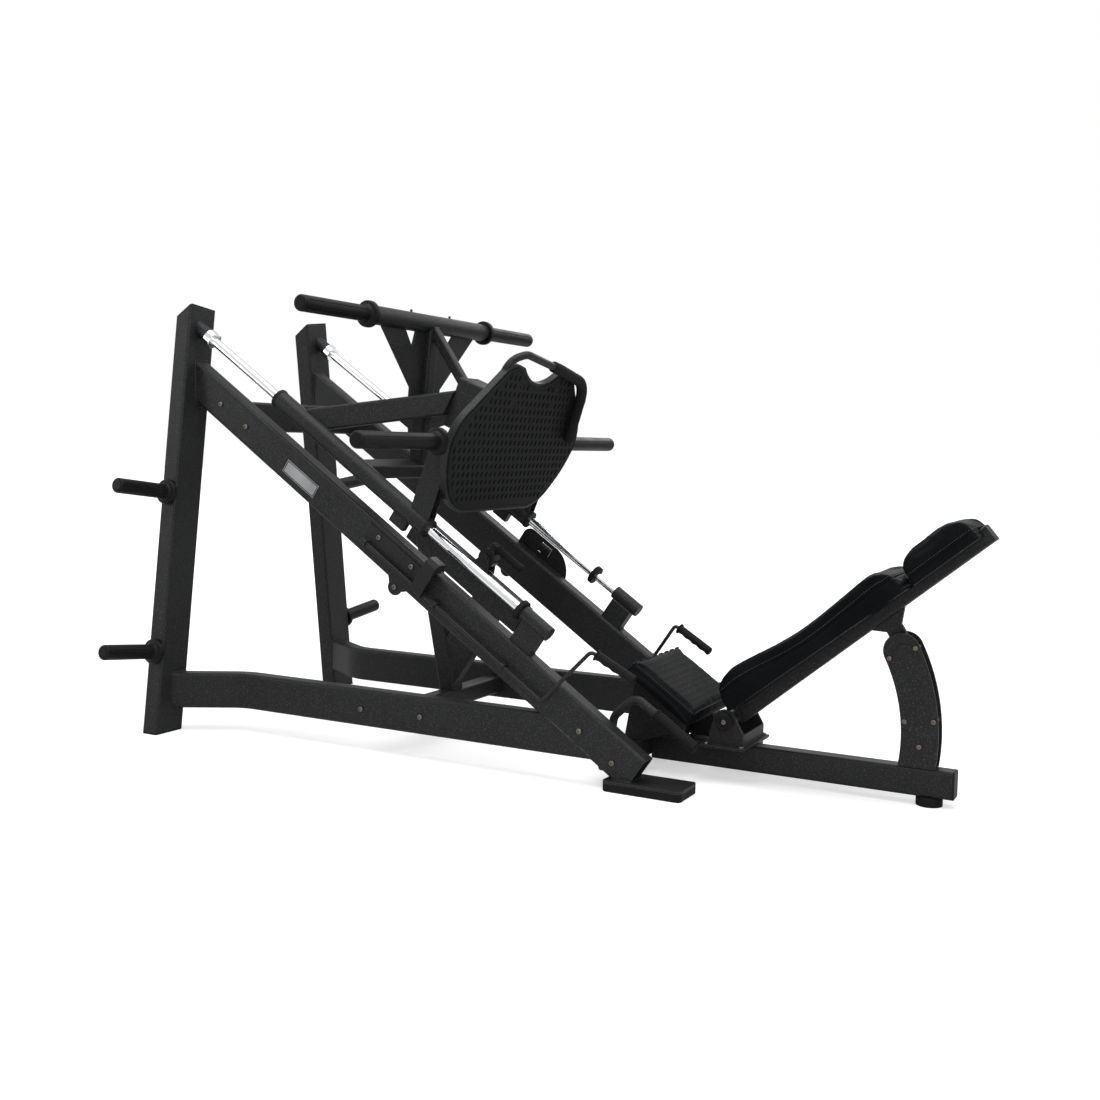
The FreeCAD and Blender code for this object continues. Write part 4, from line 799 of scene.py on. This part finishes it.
def make_seat_grips():
    """Rubber sleeves on the side handles: a bead at the root, fine rings, and a round end."""
    for side, name in ((-1, "left"), (1, "right")):
        vertices = [co for co in points_of("seat_handle_grips") if co.y * side > 0]
        axis = Vector((0.188, 0, -0.128)).normalized()
        centre_y = middle_of([co.y for co in vertices])
        reach = [co.dot(axis) for co in vertices]
        square = Vector((-axis.z, 0, axis.x))
        heights = [co.dot(square) for co in vertices]
        base = square * middle_of(heights) + Y_AXIS * centre_y
        start, end = base + axis * min(reach), base + axis * max(reach)
        length = (end - start).length
        profile = [(0.0, 13.0 * MM), (0.0, 17.5 * MM), (2 * MM, 18.5 * MM), (5 * MM, 18.5 * MM),
                   (7 * MM, 16.8 * MM)]
        along = 12 * MM
        while along < length - 16 * MM:
            profile += [(along, 16.8 * MM), (along + 1.5 * MM, 16.0 * MM),
                        (along + 3.0 * MM, 16.0 * MM), (along + 4.5 * MM, 16.8 * MM)]
            along += 9 * MM
        profile += [(length - 8 * MM, 17.0 * MM), (length - 3 * MM, 15.6 * MM),
                    (length - 0.6 * MM, 11.0 * MM), (length, 0.0)]
        grip = mesh_of(name + "_seat_grip",
                       lambda work: lathe(work, [(0.0, 0.0)] + profile, start, axis))
        piece = piece_from(name + "_seat_grip", grip, "black_rubber", "frame")
        if side > 0:
            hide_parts("seat_handle_grips")


HANDLE_FRONT = 26.0 * MM
FOAM_PATH = [(0.010, 0.2694, 0.0212), (0.060, 0.262, HANDLE_FRONT), (0.262, 0.224, HANDLE_FRONT),
             (0.292, 0.016, HANDLE_FRONT)]
FOAM_BENDS = [60.0 * MM, 84.0 * MM]
FOAM_RADIUS = 18.4 * MM
FOAM_ROLL = 5.0 * MM       # length and depth of the rolled ends
FOAM_STEP = 3.0 * MM


def plate_origin():
    """Middle of the foot plate's front face, at the height the handle is drawn from."""
    front = span("foot_plate", PLATE_FRONT)[1]
    ups = span("foot_plate", PLATE_UP)
    low = ups[0] + 244.0 * MM
    return PLATE_FRONT * front + PLATE_UP * low


def on_plate(across, up, front):
    return plate_origin() + Y_AXIS * across + PLATE_UP * up + PLATE_FRONT * front


def make_foam_grip():
    """Foam tube on the foot plate's handle, with slightly rolled ends."""
    corners = [on_plate(*place) for place in FOAM_PATH]
    points = rounded_path(corners, FOAM_BENDS, FOAM_STEP)
    last = len(points) - 1

    def radius(index, turn):
        inside = min(index, last - index) * FOAM_STEP
        full = FOAM_RADIUS + 0.5 * MM * noise.noise(points[index] * 60)
        if inside < FOAM_ROLL:
            share = 1.0 - inside / FOAM_ROLL
            return full - FOAM_ROLL * (1.0 - math.sqrt(max(0.0, 1.0 - share * share)))
        return full

    mesh = mesh_of("handle_foam", lambda work: sweep(work, points, radius, 28))
    foam = piece_from("handle_foam", mesh, "foam", "carriage")
    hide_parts("foot_plate_grip")


# ---- foot mat ----
BUMP_PITCH_ACROSS = 27.5 * MM
BUMP_PITCH_UP = 27.0 * MM
BUMP_RADIUS = 8.6 * MM
BUMP_WIDTH = 7.4 * MM
BUMP_HEIGHT = 3.0 * MM
MAT_MARGIN = 19.0 * MM
MAT_SCREWS = [(-0.112, 0.186), (0.112, 0.186), (-0.112, 0.128), (0.112, 0.128)]
SCREW_MARGIN = 15.0 * MM
COLUMNS = 16                                     # half rows, more than the mat is wide
LOWEST_ROW, HIGHEST_ROW = -218.0 * MM, 256.0 * MM


def outline_of(node, normal):
    """Ordered outer loop of a CAD plate's face that looks along a normal."""
    mesh = frame["nodes"][node].data
    top = span(node, normal)[1]

    def key(co):
        return tuple(round(value, 5) for value in co)

    uses = {}
    for face in mesh.polygons:
        corners = [mesh.vertices[index].co for index in face.vertices]
        if any(abs(co.dot(normal) - top) > 0.05 * MM for co in corners):
            continue
        for first, second in zip(corners, corners[1:] + corners[:1]):
            edge = frozenset((key(first), key(second)))
            if len(edge) == 2:
                uses[edge] = uses.get(edge, 0) + 1
    following = {}
    for edge, count in uses.items():
        if count == 1:
            first, second = tuple(edge)
            following.setdefault(first, []).append(second)
            following.setdefault(second, []).append(first)
    loops, seen = [], set()
    for start in sorted(following):
        if start in seen:
            continue
        loop, here, before = [], start, None
        while here not in seen:
            seen.add(here)
            loop.append(Vector(here))
            ahead = [spot for spot in sorted(following[here]) if spot != before]
            before, here = here, ahead[0]
        loops.append(loop)
    return max(loops, key=len)


def inset_loop(loop, normal, distance):
    """The loop moved inwards in its own plane."""
    count = len(loop)
    area = sum((loop[i].cross(loop[(i + 1) % count])).dot(normal) for i in range(count))
    turn = 1 if area > 0 else -1
    moved = []
    for index in range(count):
        tangent = (loop[(index + 1) % count] - loop[index - 1]).normalized()
        moved.append(loop[index] + normal.cross(tangent) * (turn * distance))
    return moved


def crescent(work, centre):
    """One raised crescent that opens to the right."""
    steps = 7
    rings = []
    for index in range(steps + 1):
        share = index / steps
        angle = math.pi / 2 + math.pi * share
        fade = max(0.18, math.sin(math.pi * share)) ** 0.6
        middle = centre + Y_AXIS * (math.cos(angle) * BUMP_RADIUS * 0.8 + 2.0 * MM) \
            + PLATE_UP * (math.sin(angle) * BUMP_RADIUS)
        outward = Y_AXIS * math.cos(angle) + PLATE_UP * math.sin(angle)
        half = BUMP_WIDTH / 2 * fade
        height = BUMP_HEIGHT * fade
        ring = [middle - outward * half - PLATE_FRONT * 0.5 * MM,
                middle - outward * half * 0.75 + PLATE_FRONT * height * 0.7,
                middle + PLATE_FRONT * height,
                middle + outward * half * 0.75 + PLATE_FRONT * height * 0.7,
                middle + outward * half - PLATE_FRONT * 0.5 * MM]
        rings.append([work.verts.new(point) for point in ring])
    bridge(work, rings)
    work.faces.new(rings[0])
    work.faces.new(rings[-1])


def make_mat_body():
    """Rubber mat with a rolled edge and a groove inside it."""
    loop = outline_of("foot_mat", PLATE_FRONT)
    back, front = span("foot_mat", PLATE_FRONT)
    rings = [(0.0, front - back - 0.2 * MM), (0.0, 2.5 * MM), (0.5 * MM, 1.0 * MM),
             (1.5 * MM, 0.2 * MM), (3.0 * MM, 0.0), (9.0 * MM, 0.0), (10.0 * MM, 1.4 * MM),
             (11.6 * MM, 1.4 * MM), (12.6 * MM, 0.0)]

    def build(work):
        layers = [[work.verts.new(point - PLATE_FRONT * drop)
                   for point in inset_loop(loop, PLATE_FRONT, inset)] for inset, drop in rings]
        bridge(work, layers)
        work.faces.new(layers[0])
        work.faces.new(layers[-1])

    mesh = mesh_of("mat_body", build)
    mat = piece_from("foot_plate_mat", mesh, "mat_rubber", "carriage", smooth=False)
    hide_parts("foot_mat")
    return mesh


def near_screw(across, up):
    return any(math.hypot(across - a, up - u) < SCREW_MARGIN for a, u in MAT_SCREWS)


def make_crescents(mat_mesh, surface):
    """Rows of crescents where the mat is free of its edge, its screws and the handle."""
    grip_tree = BVHTree.FromObject(bpy.data.objects["handle_foam"],
                                   bpy.context.evaluated_depsgraph_get())
    tree = tree_of(mat_mesh)
    start = surface + 0.2     # rays start well in front of the mat

    def inside(across, up):
        """True when the mat, and no handle, is all round this place."""
        for step in range(8):
            turn = math.pi * step / 4
            spot = on_plate(across + MAT_MARGIN * math.cos(turn), up + MAT_MARGIN * math.sin(turn),
                            start)
            if tree.ray_cast(spot, -PLATE_FRONT, 0.203)[0] is None:
                return False
        return grip_tree.ray_cast(on_plate(across, up, start), -PLATE_FRONT)[0] is None

    def rows(work):
        row = 0
        up = LOWEST_ROW
        while up < HIGHEST_ROW:
            shift = BUMP_PITCH_ACROSS / 2 if row % 2 else 0.0
            across = -COLUMNS * BUMP_PITCH_ACROSS + shift
            while across < COLUMNS * BUMP_PITCH_ACROSS:
                if inside(across, up) and not near_screw(across, up):
                    crescent(work, on_plate(across, up, surface))
                across += BUMP_PITCH_ACROSS
            up += BUMP_PITCH_UP
            row += 1

    mesh = mesh_of("crescents", rows)
    # The crescents take the darker rubber: painted shade.
    piece_from("foot_plate_crescents", mesh, "mat_rubber", "carriage", CRESCENT_PAINTED_SHADE)


def make_mat_screws(surface):
    """Low round heads with a socket, four near the mat's top."""
    places = [on_plate(across, up, surface) for across, up in MAT_SCREWS]
    profile = [(-1 * MM, 0.0), (-1 * MM, 8 * MM), (0.8 * MM, 8 * MM), (1.8 * MM, 7 * MM),
               (1.8 * MM, 3.2 * MM), (0.3 * MM, 3.0 * MM), (0.3 * MM, 0.0)]

    def heads(work):
        for place in places:
            lathe(work, profile, place, PLATE_FRONT, 24)

    piece_from("mat_screws", mesh_of("mat_screws", heads), "black_plastic", "carriage")


def make_mat():
    surface = span("foot_mat", PLATE_FRONT)[1] - plate_origin().dot(PLATE_FRONT)
    make_crescents(make_mat_body(), surface)
    make_mat_screws(surface)


# ---- welds and small parts ----
def hull(points, axis):
    """Convex outline of points that lie in a plane square to an axis."""
    first = side_vector(axis)
    second = axis.normalized().cross(first)
    flat = sorted({(round(p.dot(first), 5), round(p.dot(second), 5)) for p in points})
    level = sum(p.dot(axis.normalized()) for p in points) / len(points)

    def half(spots):
        chain = []
        for spot in spots:
            while len(chain) > 1 and ((chain[-1][0] - chain[-2][0]) * (spot[1] - chain[-2][1])
                                      - (chain[-1][1] - chain[-2][1])
                                      * (spot[0] - chain[-2][0])) <= 0:
                chain.pop()
            chain.append(spot)
        return chain[:-1]

    outline = half(flat) + half(flat[::-1])
    return [first * a + second * b + axis.normalized() * level for a, b in outline]


WELD_RADIUS = 4.0 * MM
WELD_RIPPLE = 0.5 * MM


def weld(name, node, axis, side, body, keep=lambda co: True, level=None):
    """Rippled bead round the end of a tube, where it stands on another piece."""
    vertices = [co for co in points_of(node) if keep(co)]
    reach = [co.dot(axis) for co in vertices]
    limit = level if level is not None else (min(reach) if side < 0 else max(reach))
    ring = [co for co in vertices if abs(co.dot(axis) - limit) < 0.3 * MM]
    if len(ring) < 4:
        return
    outline = hull(ring, axis)
    outline = resampled(outline + [outline[0]], 3.0 * MM)[:-1]

    def radius(index, turn):
        ripple = 0.5 * math.sin(2 * math.pi * index / 2.9) + 0.6 * noise.noise(outline[index] * 90)
        return WELD_RADIUS + WELD_RIPPLE * ripple

    if len(outline) > 8:
        mesh = mesh_of(name, lambda work: sweep(work, outline, radius, 10, closed=True))
        piece_from(name, mesh, "black_paint", body)


def make_welds():
    """Beads where the rails meet the posts, the feet and the base rails."""
    for side, name in ((-1, "left"), (1, "right")):
        weld(name + "_rail_top_weld", name + "_rail", X_AXIS, -1, "frame")
        weld(name + "_rail_foot_weld", name + "_rail", Z_AXIS, -1, "frame")
        weld(name + "_base_rail_weld", name + "_base_rail", X_AXIS, -1, "frame")
        low = span(name + "_rail", OUT)[1]
        weld(name + "_socket_weld", "rod_sockets", OUT, -1, "frame",
             lambda co, side=side: co.y * side > 0 and co.x > 0, low)


def socket_screw(work, place, axis, radius, height):
    """Button head with a hexagon socket."""
    lathe(work, [(-0.5 * MM, 0.0), (-0.5 * MM, radius), (height * 0.35, radius),
                 (height * 0.8, radius * 0.82), (height, radius * 0.6), (height, radius * 0.42),
                 (height * 0.4, radius * 0.40), (height * 0.4, 0.0)], place, axis, 24)


def make_axle_details():
    """Ringed cover and a screw on each end of the back rest's axle."""
    low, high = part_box("axle_caps")

    def build(work):
        for side, y in ((-1, low.y), (1, high.y)):
            place = Vector((PIVOT.x, y, PIVOT.z))
            lathe(work, [(-2 * MM, 22.5 * MM), (0.6 * MM, 22.5 * MM), (1.2 * MM, 21.5 * MM),
                         (1.2 * MM, 19.0 * MM), (-0.4 * MM, 18.0 * MM), (-2 * MM, 18.0 * MM),
                         (-2 * MM, 22.5 * MM)], place, Y_AXIS * side)
            lathe(work, [(-2 * MM, 13.5 * MM), (1.0 * MM, 13.5 * MM), (1.6 * MM, 12.5 * MM),
                         (1.6 * MM, 10.5 * MM), (-2 * MM, 10.5 * MM), (-2 * MM, 13.5 * MM)],
                  place, Y_AXIS * side)

    def screws(work):
        for side, y in ((-1, low.y), (1, high.y)):
            socket_screw(work, Vector((PIVOT.x, y, PIVOT.z)), Y_AXIS * side, 8 * MM, 3.5 * MM)

    piece_from("axle_cover_rings", mesh_of("axle_cover_rings", build), "black_plastic", "frame")
    piece_from("axle_screws", mesh_of("axle_screws", screws), "zinc", "frame")


BADGE_INSET = 3.5 * MM
BADGE_BORDER = 1.3 * MM


def make_badge_rims():
    """Raised dark border round each blank badge."""
    for side, name in ((-1, "left"), (1, "right")):
        vertices = [co for co in points_of("name_plates") if co.y * side > 0]
        along = [co.dot(DOWN) for co in vertices]
        out = [co.dot(OUT) for co in vertices]
        face = max(abs(co.y) for co in vertices) * side
        a0, a1 = min(along) + BADGE_INSET, max(along) - BADGE_INSET
        o0, o1 = min(out) + BADGE_INSET, max(out) - BADGE_INSET
        corners = [DOWN * a + OUT * o + Y_AXIS * face
                   for a, o in ((a0, o0), (a1, o0), (a1, o1), (a0, o1), (a0, o0))]
        line = resampled(corners, 4 * MM)[:-1]
        mesh = mesh_of(name, lambda work: sweep(work, line, lambda index, turn: BADGE_BORDER, 8,
                                                closed=True))
        piece_from(name + "_badge_border", mesh, "black_plastic", "frame")


# ---- stage ----
CAMERA_PLACE = Vector((1.8401, -3.524, 0.990))
CAMERA_YAW, CAMERA_PITCH, CAMERA_ROLL = (math.radians(a) for a in (28.23, 4.81, 0.92))
CAMERA_LENS = 40.57
SENSOR = 36.0
FLOOR_HALF = 30.0
FLOOR_GLOW = 0.45          # near the machine, and 1 far away, for the camera only
WORLD_LIGHT = 0.45         # for soft light on the machine
WORLD_MIRRORED = 0.75      # for what polished metal shows
TOP_POWER, FRONT_POWER, LEFT_POWER, BACK_POWER = 120, 60, 25, 30     # watts


def make_camera():
    """Camera at the standing eye's place, from its yaw, pitch and roll."""
    forward = Vector((-math.sin(CAMERA_YAW) * math.cos(CAMERA_PITCH),
                      math.cos(CAMERA_YAW) * math.cos(CAMERA_PITCH), -math.sin(CAMERA_PITCH)))
    right = forward.cross(Z_AXIS).normalized()
    up = right.cross(forward)
    turned_right = right * math.cos(CAMERA_ROLL) + up * math.sin(CAMERA_ROLL)
    turned_up = up * math.cos(CAMERA_ROLL) - right * math.sin(CAMERA_ROLL)
    data = bpy.data.cameras.new("camera")
    data.lens, data.sensor_width, data.sensor_fit = CAMERA_LENS, SENSOR, "HORIZONTAL"
    data.clip_end = 200.0
    camera = linked("camera", data)
    turn = Matrix((turned_right, turned_up, -forward)).transposed().to_4x4()
    camera.matrix_world = Matrix.Translation(CAMERA_PLACE) @ turn
    bpy.context.scene.camera = camera


def area_light(name, place, target, size, power):
    data = bpy.data.lights.new(name, "AREA")
    data.shape = "RECTANGLE"
    data.size, data.size_y = size
    data.energy = power
    light = linked(name, data)
    light.location = place
    light.rotation_euler = (target - place).to_track_quat("-Z", "Y").to_euler()


def make_stage():
    """Pale floor, white surroundings and four soft lights."""
    mesh = bpy.data.meshes.new("floor")
    corners = [(-1, -1), (1, -1), (1, 1), (-1, 1)]
    mesh.from_pydata([(x * FLOOR_HALF, y * FLOOR_HALF, 0) for x, y in corners], [], [(0, 1, 2, 3)])
    mesh.materials.append(floor_paint("floor_paint", (0.86, 0.86, 0.86), FLOOR_GLOW))
    linked("floor", mesh)
    world = bpy.data.worlds.new("studio")
    world.use_nodes = True
    nodes, links = world.node_tree.nodes, world.node_tree.links
    background = nodes["Background"]
    background.inputs["Color"].default_value = (1.0, 1.0, 1.0, 1.0)
    path, mirrored, level = (nodes.new("ShaderNode" + kind)
                             for kind in ("LightPath", "MapRange", "MapRange"))
    links.new(path.outputs["Is Glossy Ray"], mirrored.inputs["Value"])
    mirrored.inputs["To Min"].default_value = WORLD_LIGHT
    mirrored.inputs["To Max"].default_value = WORLD_MIRRORED
    links.new(path.outputs["Is Camera Ray"], level.inputs["Value"])
    links.new(mirrored.outputs["Result"], level.inputs["To Min"])
    level.inputs["To Max"].default_value = 1.0
    links.new(level.outputs["Result"], background.inputs["Strength"])
    bpy.context.scene.world = world
    middle = Vector((0, 0, 0.6))
    area_light("top_light", Vector((0.3, -0.4, 3.6)), middle, (4.0, 3.0), TOP_POWER)
    area_light("front_light", Vector((2.6, -4.2, 2.4)), middle, (2.5, 2.0), FRONT_POWER)
    area_light("left_light", Vector((-3.6, -2.6, 2.0)), middle, (1.2, 2.6), LEFT_POWER)
    area_light("back_light", Vector((-0.5, 4.0, 2.8)), middle, (3.0, 1.2), BACK_POWER)
    bpy.context.scene.view_settings.view_transform = "Standard"


def write_sizes():
    """Bring the view layer up to date."""
    bpy.context.view_layer.update()


dress_frame()
make_pads()
make_foam_grip()
make_mat()
make_lever_grips()
make_stop_grip()
make_seat_grips()
make_welds()
make_axle_details()
make_badge_rims()
make_camera()
make_stage()
write_sizes()
